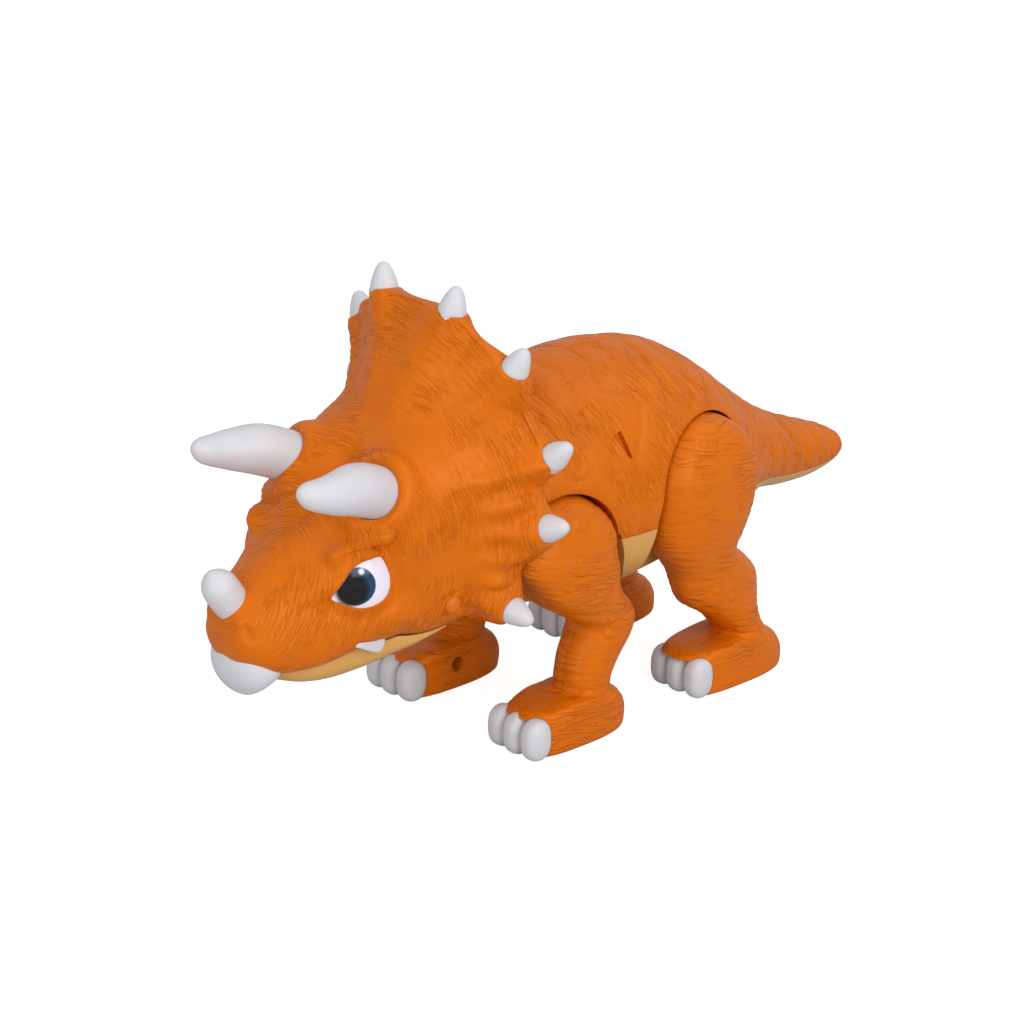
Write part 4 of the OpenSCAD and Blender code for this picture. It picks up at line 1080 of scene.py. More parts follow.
# %% Head loft
SKULL_COUNT, FRILL_COUNT, RIM_COUNT, BACK_COUNT = 116, 70, 5, 14
BRIDGE_STEPS = (0.17, 0.33, 0.5, 0.67, 0.83)
RIM_ROUND = 1.2
root_ring = polar_ring(straight_keyed(ROOT, 1, 6.0), straight_keyed(ROOT, 2, 6.0))
edge_ring = polar_ring(keyed(EDGE, 1), keyed(EDGE, 2))
face_ring = polar_ring(straight_keyed(FACE, 1), straight_keyed(FACE, 2))
edge_thick = keyed(EDGE, 3)
frill_bow = 4 * np.clip((fold_angles - 8) / 20, 0, 1) * np.clip((120 - fold_angles) / 30, 0, 1)
low_side = np.clip((fold_angles - 112) / 28, 0, 1)
outward = np.stack([np.sin(head_turn), 0 * head_turn, np.cos(head_turn)], -1)


def frill_ring(t):
    edge = face_ring + (edge_ring - face_ring) * smooth_step(0.5, 1, t)
    ring = root_ring * (1 - t) + edge * t
    ring[:, 1] += 4 * t * (1 - t) * frill_bow
    return ring


def back_ring(t):
    ring = frill_ring(t) - outward * (0.8 + 2 * low_side)[:, None]
    ring[:, 1] += (4.5 * (1 - t ** 3) + edge_thick * t ** 3) * (1 - 0.75 * low_side)
    return ring


def rim_rings(count):
    front, back = frill_ring(1.0), back_ring(1.0)
    middle = (front + back) / 2
    for turn in np.linspace(0, np.pi, count + 2)[1:-1]:
        yield middle + (front - middle) * math.cos(turn) + outward * RIM_ROUND * math.sin(turn)


skull_front = skull_rings(rows_along(SKULL_ROWS, np.linspace(0, len(SKULL_ROWS) - 1, SKULL_COUNT)))
bridge = [skull_front[-1] * (1 - t) + root_ring * t for t in BRIDGE_STEPS]
frill_front = [frill_ring(t) for t in np.linspace(0, 1, FRILL_COUNT)]
frill_back = [back_ring(t) for t in np.linspace(1, 0, BACK_COUNT)]
head_grid = np.concatenate([
    skull_front, bridge, frill_front, list(rim_rings(RIM_COUNT)), frill_back,
    skull_rings(NECK_ROW, HEAD_WALL),
])
LIP_ANGLE, LIP_SPREAD = 131, 17
# How far the lip hangs below the plain loft: y and drop
LIP_DROP = np.array([[-155, 0], [-150, 1.0], [-143, 3.0], [-132, 4.0], [-118, 3.6], [-108, 1.8],
                     [-99, 2.2], [-92, 3.6], [-84, 3.2], [-76, 1.2], [-68, 0]])
past_root = np.arange(len(head_grid)) - SKULL_COUNT - len(bridge)
near_skull = smooth_step(0.9 * FRILL_COUNT, 0, past_root)
hang = np.interp(head_grid[..., 1], LIP_DROP[:, 0], LIP_DROP[:, 1]) * near_skull[:, None]
head_grid[..., 2] -= hang * np.exp(-((fold_angles - LIP_ANGLE) / LIP_SPREAD) ** 2)
print("head grid:", head_grid.shape)

# %% [markdown]
# ## Eyes
# The eye is a glossy printed dome behind an almond opening. The opening's line comes from the photograph,
# laid on a plane in front of the dome. Inside the line the skin is pushed below the dome, outside it
# makes a lid, and the lid is thicker towards the brow, which gives the toy its look.

# %% Eye opening
EYE_PLACE, EYE_AIM = np.array([27.4, -115, 83]), np.array([0.93, -0.34, 0.12])
EYE_LINE = [
    (334, 599), (343, 582), (352, 568), (361, 561), (371, 558.5), (382, 557.5), (387.5, 566), (391, 578),
    (390, 591), (384, 600.5), (371, 607), (357, 608), (343, 604),
]
BROW_PIXEL, EYE_PIXEL = (348, 551), (365, 585)
BALL_RADIUS, BALL_RISE = 24.0, 3.4
LID, LID_SUNK, LID_REACH, BROW_LID = 0.7, 1.8, 7.5, 1.3
eye_aim = EYE_AIM / np.linalg.norm(EYE_AIM)
eye_side = np.cross([0, 0, 1.0], eye_aim)
eye_side /= np.linalg.norm(eye_side)
eye_up = np.cross(eye_aim, eye_side)


def on_eye(pixels, lift=2.0):
    """Pixels of the photograph laid on a plane in front of the eye, as points in space."""
    rays = photo_rays(pixels)
    plane = EYE_PLACE + lift * eye_aim
    return camera_eye + rays * (((plane - camera_eye) @ eye_aim) / (rays @ eye_aim))[:, None]


def eye_flat(points):
    offset = points - EYE_PLACE
    return np.stack([offset @ eye_side, offset @ eye_up], -1)


eye_line = eye_flat(on_eye(EYE_LINE))
wrapped = np.concatenate([eye_line[-2:], eye_line, eye_line[:3]])
eye_outline = rows_along(wrapped, np.linspace(2, len(EYE_LINE) + 2, 121)[:-1])
eye_middle = (eye_outline.min(0) + eye_outline.max(0)) / 2
brow_way = (eye_flat(on_eye([BROW_PIXEL])) - eye_flat(on_eye([EYE_PIXEL])))[0]
brow_way /= np.linalg.norm(brow_way)


def ball_height(flat):
    far = np.minimum(np.linalg.norm(flat - eye_middle, axis=-1), 0.95 * BALL_RADIUS)
    return np.sqrt(BALL_RADIUS ** 2 - far ** 2) - BALL_RADIUS + BALL_RISE


def open_eye(grid):
    for sign in (1, -1):
        own = grid * [sign, 1, 1]
        deep = (own - EYE_PLACE) @ eye_aim
        near = (np.linalg.norm(own - EYE_PLACE, axis=-1) < 24) & (deep > -9)
        flat = eye_flat(own[near])
        gap = outline_gap(flat, eye_outline)
        brow = np.clip((flat - eye_middle) @ brow_way / 7, 0, 1)
        lid = LID + BROW_LID * brow * np.exp(-((gap - 1.6) / 2.0) ** 2)
        target = ball_height(flat) + (lid + LID_SUNK) * smooth_step(-0.7, 0.4, gap) - LID_SUNK
        weight = 1 - smooth_step(1.2, LID_REACH, gap)
        move = (target - deep[near]) * weight
        grid[near] += move[:, None] * (eye_aim * [sign, 1, 1])


open_eye(head_grid)
base_tree = grid_tree(head_grid, True)
print("eye opening in mm:", (eye_outline.max(0) - eye_outline.min(0)).round(1))

# %% [markdown]
# The face is sculpted next. The lines below are read off the photograph: the brow over the eye, the
# folds of the snout, the crease behind the cheek, the nostril and the fold that runs from the eye.

# %% Lines of the face
BROW = [(336, 558), (348, 551), (361, 546), (372, 541), (387, 538)]
BROW_NICKS = [
    [(350, 547), (353, 554)], [(357, 544), (360, 552)], [(363, 542), (367, 550)], [(370, 538), (374, 547)],
    [(378, 535), (383, 545)],
]
SNOUT_FOLDS = [
    [(246, 584), (250, 592), (252, 602)], [(256, 577), (262, 586), (264, 600)], [(267, 571), (274, 588)],
    [(279, 565), (287, 577), (289, 588)], [(296, 564), (303, 575)],
]
EYE_FOLD = [(330, 602), (324, 606), (314, 610), (305, 611)]
CHEEK_CREASE = [(446, 535), (445, 553), (453, 569), (460, 580)]
CHEEK_BULGE = [(433, 545), (436, 562), (445, 578), (449, 592)]
NOSTRIL = [(246, 629), (248, 634), (250, 638)]
NOSTRIL_BUMP = [(241, 624), (246, 621), (251, 624)]
BROW_HOLLOW = [(322, 530), (329, 527), (337, 527)]
FOREHEAD_PLATES = [(366, 441, 4.4, 6)]

HORN_PLACE, HORN_WAY = np.array([22.5, -102, 111]), np.array([2.6, -8, 4.5])
JAW_PIVOT = (-81, 68)
SPIKE_RADIUS, SPIKE_LENGTH = 5.2, 9.0
middle_ring = (edge_ring + back_ring(1.0)) / 2


def spike_axes():
    """Place and direction of each spike on the rim of the frill."""
    for angle in SPIKE_ANGLES:
        for side in (1, -1):
            index = int(round(side * angle * HEAD_COLUMNS / 360)) % HEAD_COLUMNS
            lean = math.radians(0.88 * angle)
            yield middle_ring[index] + 0.6 * outward[index], (side * math.sin(lean), 0.12, math.cos(lean))


print("spikes on the frill:", len(list(spike_axes())))

# %% [markdown]
# All of it goes into one map of heights: lines from the photograph, broad folds that run out to the
# spikes, fine raised lines across the frill, and a valley round each horn and jaw cap.

# %% Head relief
VALLEY_RADIUS, VALLEY_WIDTH, VALLEY_DEPTH = 17.4, 2.0, 1.9
CAP_GROOVE_RADIUS, CAP_GROOVE_WIDTH, CAP_GROOVE_DEPTH = 4.6, 0.9, 0.9
FRILL_LINE_PITCH, FRILL_LINE_HEIGHT = 4.6, 0.4
FRILL_FOLD_WIDTH, FRILL_FOLD_HEIGHT = 3.7, 2.6
NICK_WIDTH, NICK_DEPTH = 0.8, 0.6
SNOUT_FOLD_WIDTH, SNOUT_FOLD_DEPTH = 1.1, 0.3
# Lines of the face with their widths and heights
FACE_LINES = [
    (BROW, 3.4, 4.2), (EYE_FOLD, 1.8, -0.7), (CHEEK_CREASE, 2.0, -1.0), (CHEEK_BULGE, 5.0, 0.9),
    (NOSTRIL, 1.6, -0.8), (NOSTRIL_BUMP, 2.4, 0.9), (BROW_HOLLOW, 5.0, -1.6),
]


def round_axis(grid, place, direction):
    """How far each point lies from an axis, and how far along it."""
    way = np.array(direction) / np.linalg.norm(direction)
    apart = grid - place
    along = apart @ way
    return np.linalg.norm(apart - along[..., None] * way, axis=-1), along


def head_relief():
    grid = head_grid
    height = 0.12 * soft_noise(grid, 26, 21)
    face = slice(SKULL_COUNT + len(bridge), SKULL_COUNT + len(bridge) + FRILL_COUNT)
    t = np.linspace(0, 1, FRILL_COUNT)[:, None]
    away = np.hypot(grid[face, :, 0], grid[face, :, 2] - HEAD_AXIS)
    sway = 3.0 * soft_noise(grid[face], 30, 22) + 0.8 * soft_noise(grid[face], 10, 25)
    wave = np.abs(np.sin(np.pi * (away + grid[face, :, 1] + sway) / FRILL_LINE_PITCH))
    lines = np.exp(-(wave / 0.3) ** 2) * smooth_step(-0.3, 0.5, soft_noise(grid[face], 24, 23))
    height[face] += FRILL_LINE_HEIGHT * lines * smooth_step(0, 0.15, t) * smooth_step(1, 0.85, t)
    arc = np.radians(fold_angles) * away
    folds = sum(np.exp(-((arc - np.radians(a) * away) / FRILL_FOLD_WIDTH) ** 2) for a in FOLD_ANGLES)
    low_folds = smooth_step(25, 60, fold_angles)
    height[face] += (FRILL_FOLD_HEIGHT * folds - 0.9) * smooth_step(0.05, 0.55, t) * (0.4 + 0.6 * low_folds)
    for line, width, depth in FACE_LINES:
        press(height, grid, cast(base_tree, line), width, depth)
    for line in BROW_NICKS:
        press(height, grid, cast(base_tree, line), NICK_WIDTH, -NICK_DEPTH)
    for line in SNOUT_FOLDS:
        press(height, grid, cast(base_tree, line), SNOUT_FOLD_WIDTH, -SNOUT_FOLD_DEPTH)
    plates_from_photo(height, grid, base_tree, FOREHEAD_PLATES)
    for side in (1, -1):
        away, along = round_axis(grid, HORN_PLACE * [side, 1, 1], HORN_WAY * [side, 1, 1])
        valley = VALLEY_DEPTH * np.exp(-((away - VALLEY_RADIUS) / VALLEY_WIDTH) ** 2)
        height -= valley * smooth_step(-20, -6, along)
    bump = np.hypot(grid[..., 1] - JAW_PIVOT[0], grid[..., 2] - JAW_PIVOT[1])
    groove = CAP_GROOVE_DEPTH * np.exp(-((bump - CAP_GROOVE_RADIUS) / CAP_GROOVE_WIDTH) ** 2)
    height -= groove * (np.abs(grid[..., 0]) > 24)
    return height


print("lines on the face:", len(FACE_LINES) + len(BROW_NICKS) + len(SNOUT_FOLDS))

# %% [markdown]
# A horn stands in a thick soft collar, and a spike in a small one. The skin round each axis is drawn up
# to the height of the collar, so it flows into the head, and is then bored for the horn's seat.

# %% Head with its collars
HORN_RADIUS, NOSE_RADIUS = 9.6, 6.5
# Height of a collar along the axis of its horn, by the distance from the axis
HORN_COLLAR = np.array([
    [0, 6], [10, 6.3], [11.6, 6.6], [13, 6.1], [14.4, 4.7], [15.6, 2.4], [17, -0.4], [21, -3.6], [30, -9],
    [40, -16],
])
SPIKE_COLLAR = np.array([[0, 0.6], [5.2, 0.6], [6.2, 0.5], [7.2, -0.5], [8.4, -2.4], [10.5, -5], [14, -9]])
HORN_SEAT_GAP, SPIKE_SEAT_GAP, EAR_GAP = 0.25, 0.15, 0.5
EAR_X, EAR_WIDE = 21.3, 4
BEAK_BACK, BEAK_TOP = -143.5, 54


def turned(profile, place, direction, count=40, columns=64):
    """Points and faces of a profile of radius and height, turned round an axis and aimed."""
    profile = rows_along(profile, np.linspace(0, len(profile) - 1, count))
    turn = np.arange(columns) * 2 * np.pi / columns
    radius, height = np.maximum(profile[:, 0], 0.02)[:, None], profile[:, 1][:, None]
    rings = np.stack([radius * np.cos(turn), radius * np.sin(turn), height + 0 * turn], -1)
    aim = Vector(direction).to_track_quat("Z", "Y").to_matrix()
    return tube_mesh(rings @ np.array(aim).T + np.array(place))


def raise_collar(grid, collar, place, direction, depth, soft):
    """The skin drawn up along an axis to the height of a collar, less and less further down."""
    way = np.array(direction) / np.linalg.norm(direction)
    away, along = round_axis(grid, place, direction)
    lack = np.interp(away, collar[:, 0], collar[:, 1]) - along
    lift = soft * np.logaddexp(0, lack / soft) * smooth_step(-depth, -0.3 * depth, along)
    lift *= smooth_step(collar[-1, 0], 0.6 * collar[-1, 0], away)
    return grid + lift[..., None] * way


def bore(radius, low, high, place, direction):
    return solid("cutter", *turned([[radius, low], [radius, high]], place, direction, 2, 96))


head_grid = head_grid + grid_normals(head_grid, True) * head_relief()[..., None]
horn_axes = [(HORN_PLACE * [side, 1, 1], HORN_WAY * [side, 1, 1]) for side in (1, -1)]
for axis in horn_axes:
    head_grid = raise_collar(head_grid, HORN_COLLAR, *axis, 22, 0.6)
for axis in spike_axes():
    head_grid = raise_collar(head_grid, SPIKE_COLLAR, *axis, 12, 0.5)
head = solid("head_skin", *tube_mesh(head_grid))
cut(head, *[bore(HORN_RADIUS + HORN_SEAT_GAP, 0, 30, *axis) for axis in horn_axes],
    *[bore(SPIKE_RADIUS + SPIKE_SEAT_GAP, -2, 12, *axis) for axis in spike_axes()])
beak_seat = block((-30, BEAK_BACK - 40, BEAK_TOP - 10), (30, BEAK_BACK, BEAK_TOP))


def ear_slot():
    return block((EAR_X - EAR_GAP, -89, 50), (EAR_X + EAR_WIDE + EAR_GAP, -72, 76))


cut(head, beak_seat, ear_slot(), mirrored(ear_slot()))
finish_piece(head, ORANGE_HEAD, "body", ["head_shell"])

# %% [markdown]
# The colour on the eye is made of three round spots, each a distance from a point: the printed blue iris,
# the printed dark pupil with its soft edge, and a small painted highlight. The dome is a stack of ever
# smaller eye outlines.

# %% Eyes
IRIS_PIXEL, PUPIL_PIXEL, PAINTED_GLINT_PIXEL = (357, 587), (352.5, 591), (361.5, 571.5)
IRIS_RADIUS, PUPIL_RADIUS, PAINTED_GLINT_RADIUS = 7.0, 6.1, 1.0
EYE_LIGHT, EYE_DEEP = linear(236, 230, 242), linear(224, 216, 232)
# Spots of colour, two of print and the last a painted highlight: pixel of the photograph, radius, softness of
# the edge and colour
EYE_SPOTS = [
    (IRIS_PIXEL, IRIS_RADIUS, 0.25, linear(24, 66, 96)),
    (PUPIL_PIXEL, PUPIL_RADIUS, 1.2, linear(22, 20, 22)),
    # Painted highlight: a pale spot standing in for a lamp's glint on the glossy dome.
    (PAINTED_GLINT_PIXEL, PAINTED_GLINT_RADIUS, 0.6, linear(225, 235, 245)),
]


def spot(tree, place, radius, soft):
    """A mask that is one inside a ball round a place."""
    where = add_node(tree, "ShaderNodeTexCoord").outputs["Object"]
    far = add_node(tree, "ShaderNodeVectorMath", operation="DISTANCE")
    far.inputs[1].default_value = (place + STAND) * MM
    edge = add_node(tree, "ShaderNodeMapRange", interpolation_type="SMOOTHSTEP")
    for label, value in (("From Min", radius - soft), ("From Max", radius + soft)):
        edge.inputs[label].default_value = value * MM
    edge.inputs["To Min"].default_value = 1.0
    edge.inputs["To Max"].default_value = 0.0
    tree.links.new(where, far.inputs[0])
    tree.links.new(far.outputs["Value"], edge.inputs["Value"])
    return edge.outputs["Result"]


def eye_material(side, sign):
    material = plastic(f"eye {side}", EYE_LIGHT, EYE_DEEP, (0.08, 0.14), relief=0.004)
    tree = material.node_tree
    colour = next(node for node in tree.nodes if node.label == "tint").outputs["Colour"]
    for pixel, radius, soft, shade in EYE_SPOTS:
        place = on_eye([pixel], 3.0)[0] * [sign, 1, 1]
        mix = add_node(tree, "ShaderNodeMix", data_type="RGBA")
        mix.inputs[7].default_value = shade
        tree.links.new(spot(tree, place, radius, soft), mix.inputs["Factor"])
        tree.links.new(colour, mix.inputs[6])
        colour = mix.outputs[2]
    tree.links.new(colour, tree.nodes["Principled BSDF"].inputs["Base Color"])
    return material


def dome_ring(size, sunk):
    flat = eye_middle + (eye_outline - eye_middle) * size
    high = ball_height(flat) - sunk
    return EYE_PLACE + flat[:, :1] * eye_side + flat[:, 1:] * eye_up + high[:, None] * eye_aim


dome = np.array([dome_ring(size, sunk) for size, sunk in ((1.04, 4), (1.06, 1.2), (1.04, 0.3))]
                + [dome_ring(size, 0) for size in np.linspace(1.0, 0.02, 24)])
for side, sign in (("left", 1), ("right", -1)):
    eye = solid(f"eye_{side}_skin", *tube_mesh(dome * [sign, 1, 1]))
    finish_piece(eye, eye_material(side, sign), "body", [f"eye_{side}"])

# %% [markdown]
# ## Horns, spikes, beak, teeth and jaw
# These are separate mouldings on the head, so each is its own piece, white but for the jaw and its pin.
# A horn follows a curved path, so its rings are set square to that path, and its end is round.

# %% Brow horns
# Each row is a point of the path and the radius there as a share of the horn's own
HORN_PATH = [
    [22.5, -102, 111, 1], [25.1, -110, 115.5, 1], [27.6, -119, 118.9, 0.97], [29.8, -129, 120.6, 0.79],
    [30.2, -138, 122.4, 0.58], [29.9, -145, 125.4, 0.44],
]
HORN_TIP = 6.5


def rings_on_path(path, radius, columns=64):
    """Round rings square to a path of points, with a radius at each."""
    ahead = np.gradient(path, axis=0)
    ahead /= np.linalg.norm(ahead, axis=1)[:, None]
    across = np.cross(ahead, [0, 0.3, 1.0])
    across /= np.linalg.norm(across, axis=1)[:, None]
    other = np.cross(across, ahead)
    turn = np.arange(columns) * 2 * np.pi / columns
    spread = across[:, None] * np.cos(turn)[:, None] + other[:, None] * np.sin(turn)[:, None]
    return path[:, None] + spread * radius[:, None, None]


def curved_horn(name, path, count, radius, tip):
    path = rows_along(path, np.linspace(0, len(path) - 1, count))
    to_tip = np.linalg.norm(path[:, :3] - path[-1, :3], axis=1)
    end = np.clip(1 - to_tip / tip, 0, 0.9999)
    radii = radius * path[:, 3] * np.sqrt(1 - end ** 2)
    return solid(name, *tube_mesh(rings_on_path(path[:, :3], radii)))


for side in ("left", "right"):
    horn = on_side(curved_horn(f"brow_horn_{side}_skin", HORN_PATH, 90, HORN_RADIUS, HORN_TIP), side)
    finish_piece(horn, WHITE, "body", [f"brow_horn_{side}"])

# %% [markdown]
# The nose horn is made the same way, on a path that leans forward from the muzzle.

# %% Nose horn
NOSE_PATH = [
    [0, -149.8, 73.5, 1], [0, -152.6, 77.4, 1.02], [0, -155.2, 81.2, 1.04], [0, -157.5, 84.7, 1.02],
    [0, -159.6, 88, 0.93], [0, -161.4, 91, 0.8],
]
NOSE_TIP = 7.0
nose = curved_horn("nose_horn_skin", NOSE_PATH, 60, NOSE_RADIUS, NOSE_TIP)
finish_piece(nose, WHITE, "body", ["nose_horn"])

# %% [markdown]
# The ten spikes of the frill are straight, so one profile is turned round the axis of each. Together they
# are one piece, as they are one node of the part.

# %% Frill spikes
SPIKE_PROFILE = np.array([[1, -0.25], [1, 0], [1, 0.15], [0.9, 0.38], [0.72, 0.68], [0.52, 0.92],
                          [0.3, 1.08], [0, 1.14]]) * [SPIKE_RADIUS, SPIKE_LENGTH]
spikes = solid("frill_spikes_skin", *joined(
    turned(SPIKE_PROFILE, place, way, 28, 40) for place, way in spike_axes()))
finish_piece(spikes, WHITE, "body", ["frill_spikes"])

# %% [markdown]
# The beak is the front of an ellipsoid that grows shallower towards its back. A copy of the head's own
# skin is cut from it, so the beak meets the muzzle without a gap.

# %% Beak
BEAK_SIZE, BEAK_PLACE = np.array([16, 11, 13]), np.array([0, -146.4, BEAK_TOP])
beak_rings = ellipsoid(BEAK_SIZE, 64, 96) + BEAK_PLACE
shallow = np.interp(beak_rings[..., 1], [-157, -151, BEAK_BACK], [1.0, 0.98, 0.6])
beak_rings[..., 2] = BEAK_TOP + (beak_rings[..., 2] - BEAK_TOP) * shallow
beak = solid("beak_skin", *tube_mesh(beak_rings))
upper = head.copy()
upper.data = head.data.copy()
bpy.context.scene.collection.objects.link(upper)
cut(beak, block((-30, BEAK_BACK - 40, BEAK_TOP - 30), (30, BEAK_BACK, BEAK_TOP + 7)), operation="INTERSECT")
cut(beak, upper)
finish_piece(beak, WHITE, "body", ["beak"])

# %% [markdown]
# The jaw closes against the lip with a hair-thin gap. The lip is curved, so rays that rise from below
# find its height at each place, and the rim of the jaw is set just under it.

# %% Lower jaw
# Each row is y, half width, top in the middle, rise of the top to its edge, bottom
JAW_ROWS = [
    [-143, 10.5, 54, 0.2, 46.5],
    [-139, 12, 54, 0.2, 45.5],
    [-130, 16, 54.5, 0.5, 42.5],
    [-119, 20, 55.6, 1.2, 41.5],
    [-106, 24.3, 55.8, 1.9, 43.5],
    [-93, 27.6, 58.1, 2.6, 47.5],
    [-85, 29, 59.6, 3, 51.5],
    [-79, 29.6, 60, 3, 55],
]
LEAST_BAND = 1.2
LIP_GAP = 0.5
EAR_OUTLINE = np.array([[-4, -2], [-6, -11], [0.5, -10], [2.4, -4]])
EAR_RADIUS, PIN_RADIUS = 5, 1.58
head_tree = grid_tree(head_grid, True)


def lip_height(x, y, fallback):
    hit = head_tree.ray_cast(Vector((x, y, 20)), Vector((0, 0, 1)))[0]
    return np.clip(hit.z, fallback - 4.5, fallback + 2.5) if hit else fallback


def jaw_rings(count):
    row = rows_along(JAW_ROWS, np.linspace(0, len(JAW_ROWS) - 1, count))
    edge = row[:, 2] - LIP_GAP + row[:, 3] - 0.6
    lip = np.array([lip_height(0.98 * wide, y, e) for (y, wide, _, _, _), e in zip(row, edge)]) - 0.4
    beside = np.pad(lip, 1, mode="edge")
    edge = np.min([beside[:-2], lip, beside[2:]], axis=0)[:, None]
    y, wide, top, rise, low = (row[:, k][:, None] for k in range(5))
    low = np.minimum(low, edge - LEAST_BAND)
    turn = np.linspace(0, np.pi, 61)
    bow = np.sign(np.cos(turn)) * np.abs(np.cos(turn)) ** 0.75
    under = np.stack([wide * bow, y + 0 * bow, edge - (edge - low) * np.sin(turn) ** 0.75], -1)
    across = np.linspace(-1, 1, 33)[1:-1]
    height = top - LIP_GAP + np.minimum(rise, edge - top) * across ** 2
    over = np.stack([wide * across, y + 0 * across, height], -1)
    return np.concatenate([under, over], 1)


jaw = solid("lower_jaw_skin", *tube_mesh(jaw_rings(80)))
for side in (1, -1):
    for outline in (circle(JAW_PIVOT, EAR_RADIUS, 48), EAR_OUTLINE + JAW_PIVOT):
        ear = prism(outline, EAR_X, EAR_X + EAR_WIDE)
        cut(jaw, ear if side > 0 else mirrored(ear), operation="UNION")
cut(jaw, prism(circle(JAW_PIVOT, PIN_RADIUS, 32), -60, 60))
finish_piece(jaw, CREAM, "jaw", ["lower_jaw"])

# %% [markdown]
# The jaw turns on a pin whose two rounded caps show as a bump on each cheek. A ray from the side finds the
# skin of the cheek, and the cap stands out from it a little.

# %% Jaw pin
CAP_RISE = 2.2
PIN_CAP_X = head_tree.ray_cast(Vector((80, *JAW_PIVOT)), Vector((-1, 0, 0)))[0].x - 3.7 + CAP_RISE
print("pin cap starts at x:", round(PIN_CAP_X, 1))
CAP_PROFILE = [[3.2, 0], [3.6, 0.8], [3.5, 1.8], [2.9, 2.8], [1.6, 3.5], [0, 3.7]]
pin = turned([[1.5, -PIN_CAP_X], [1.5, 0], [1.5, PIN_CAP_X]], (0, *JAW_PIVOT), (1, 0, 0), 4, 32)
caps = [turned(CAP_PROFILE, (side * PIN_CAP_X, *JAW_PIVOT), (side, 0, 0), 24, 48) for side in (1, -1)]
jaw_pin = solid("jaw_pin_skin", *joined([pin, *caps]))
finish_piece(jaw_pin, ORANGE, "body", ["jaw_pin"])

# %% [markdown]
# A tooth is a low wedge that hangs from the lip on each side. Its line is read off the photograph and laid
# on an upright plane, and a stack of its outlines gives it thickness and round edges.

# %% Teeth
TOOTH_X, TOOTH_THICK, TOOTH_ROOT = 25.6, 2.2, 2.0
TOOTH_LINE = [(357.5, 648), (366, 650.5), (375, 652.5), (381, 652), (384.5, 648), (386.5, 639)]
rays = photo_rays(TOOTH_LINE)
flat_tooth = (camera_eye + rays * ((TOOTH_X + TOOTH_THICK - camera_eye[0]) / rays[:, 0])[:, None])[:, 1:]
root = flat_tooth[[-1, 0]] + [0, TOOTH_ROOT]
tooth_outline = np.concatenate([rows_along(flat_tooth, np.linspace(0, 5, 41)), root])
tooth_middle = tooth_outline.mean(0)
tooth_rings = []
for x, size in ((0, 0.92), (0.3, 1), (1.4, 1), (1.9, 0.94), (2.15, 0.82), (2.2, 0.7)):
    ring = tooth_middle + (tooth_outline - tooth_middle) * size
    tooth_rings.append(np.column_stack([np.full(len(ring), TOOTH_X + x), ring]))
tooth = tube_mesh(np.array(tooth_rings))
teeth = solid("teeth_skin", *joined([tooth, (tooth[0] * [-1, 1, 1], tooth[1])]))
finish_piece(teeth, WHITE, "body", ["teeth"])
print("tooth box in y and z:", tooth_outline.min(0).round(1), tooth_outline.max(0).round(1))

# %% [markdown]
# ## The works inside
# The motor, gears, cells and screws are shown by their CAD shapes. The shells hide most of them, but screws
# show in their wells and the knob under the belly, so each gets a finish in place of a flat colour.

# %% Finishes of the works
BLACK = plastic("black plastic", linear(38, 38, 41), linear(28, 28, 30), (0.4, 0.55))
ACETAL = plastic("gear plastic", linear(230, 228, 216), linear(216, 213, 200), (0.3, 0.45))
STEEL = plastic("steel", linear(184, 184, 188), linear(160, 160, 166), (0.25, 0.42), grain=1600.0, metal=1.0)
CAN = plastic("motor can", linear(176, 180, 186), linear(150, 154, 160), (0.3, 0.5), grain=700.0, metal=1.0)
BRASS = plastic("brass", linear(206, 172, 92), linear(178, 142, 70), (0.2, 0.36), grain=1500.0, metal=1.0)
SLEEVE = plastic("cell sleeve", linear(192, 152, 64), linear(170, 130, 50), (0.22, 0.34), metal=0.3)
BOARD = plastic("board lacquer", linear(24, 98, 52), linear(18, 78, 40), (0.2, 0.35))
LEGS = [f"{side}_{pair}" for side in ("left", "right") for pair in ("hind", "front")]
CARRIED = [
    (BLACK, ["battery_box", "switch_body", "switch_knob", "gearbox_left_plate", "gearbox_right_plate",
             "speaker", "head_back_plate", "neck_core"]),
    (ACETAL, ["crank_gear", "crank_disc_left", "crank_disc_right", "reduction_gear_a", "reduction_gear_b"]
     + [f"{leg}_lever" for leg in LEGS]),
    (STEEL, ["door_screw", "body_screws", "gear_pins", "front_axle", "hind_axle", "crank_axle", "motor_shaft",
             "battery_contacts"] + [f"{leg}_leg_screws" for leg in LEGS]),
    (CAN, ["motor"]), (BRASS, ["motor_pinion"]), (SLEEVE, ["batteries"]), (BOARD, ["circuit_board"]),
]
for material, names in CARRIED:
    for name in names:
        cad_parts[name].data.materials.clear()
        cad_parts[name].data.materials.append(material)
print("CAD shapes with a finish:", sum(len(names) for _, names in CARRIED))

# %% [markdown]
# ## Floor and light
# The toy stands on a plain white floor. To the camera it is white, as in a studio picture, and it still
# keeps the toy's shadow. The Light Path node tells camera rays from the rays that light the toy, so the
# white does not light the belly from below.

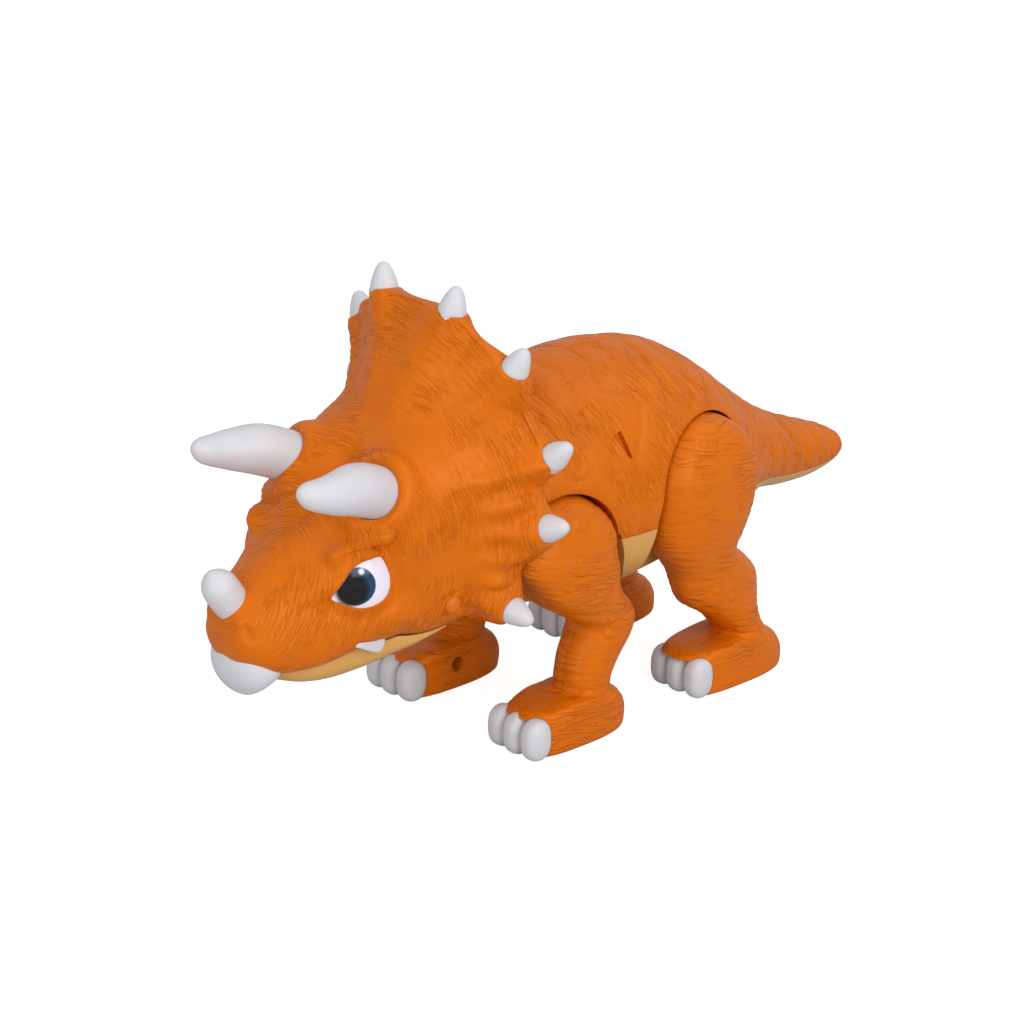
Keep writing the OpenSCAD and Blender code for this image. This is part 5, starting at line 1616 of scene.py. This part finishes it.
# %% Floor
floor_mesh = bpy.data.meshes.new("floor")
floor_mesh.from_pydata([(-4, -4, 0), (4, -4, 0), (4, 4, 0), (-4, 4, 0)], [], [(0, 1, 2, 3)])
floor = bpy.data.objects.new("floor", floor_mesh)
bpy.context.scene.collection.objects.link(floor)
floor_material = bpy.data.materials.new("floor")
floor_material.use_nodes = True
floor_tree = floor_material.node_tree
floor_shader = floor_tree.nodes["Principled BSDF"]
floor_shader.inputs["Base Color"].default_value = (0.55, 0.55, 0.55, 1)
floor_shader.inputs["Roughness"].default_value = 0.9
floor_shader.inputs["Specular IOR Level"].default_value = 0.0
floor_shader.inputs["Emission Color"].default_value = (1, 1, 1, 1)
seen = add_node(floor_tree, "ShaderNodeLightPath").outputs["Is Camera Ray"]
floor_tree.links.new(math_node(floor_tree, "MULTIPLY", seen, 0.85), floor_shader.inputs["Emission Strength"])
floor_mesh.materials.append(floor_material)
print("floor side in m:", round(floor.dimensions.x, 1))

# %% [markdown]
# The world is white to the camera too, and dimmer as a light. Four wide lamps do the rest: a high and a
# low one in front, one above the tail, and the strongest on the left side, which the photograph shows.

# %% World and lamps
WORLD_LIGHT = 0.6
world = bpy.data.worlds.new("studio")
world.use_nodes = True
world_tree = world.node_tree
world_tree.nodes["Background"].inputs["Color"].default_value = (1, 1, 1, 1)
seen = add_node(world_tree, "ShaderNodeLightPath").outputs["Is Camera Ray"]
level = math_node(world_tree, "ADD", math_node(world_tree, "MULTIPLY", seen, 1 - WORLD_LIGHT), WORLD_LIGHT)
world_tree.links.new(level, world_tree.nodes["Background"].inputs["Strength"])
bpy.context.scene.world = world
bpy.context.scene.view_settings.view_transform = "Standard"


def add_lamp(name, place, size, power):
    data = bpy.data.lights.new(name, "AREA")
    data.size = size
    data.energy = power
    lamp = bpy.data.objects.new(name, data)
    lamp.location = place
    lamp.rotation_mode = "QUATERNION"
    lamp.rotation_quaternion = (Vector((0, 0, 0.08)) - Vector(place)).to_track_quat("-Z", "Y")
    bpy.context.scene.collection.objects.link(lamp)


add_lamp("key", (-0.15, -1.0, 1.2), 0.9, 2.0)
add_lamp("fill", (1.3, -0.15, 0.7), 1.0, 10.0)
add_lamp("low front", (0.45, -1.2, 0.22), 0.7, 4.2)
add_lamp("top", (0.35, 0.55, 1.4), 0.9, 3.2)
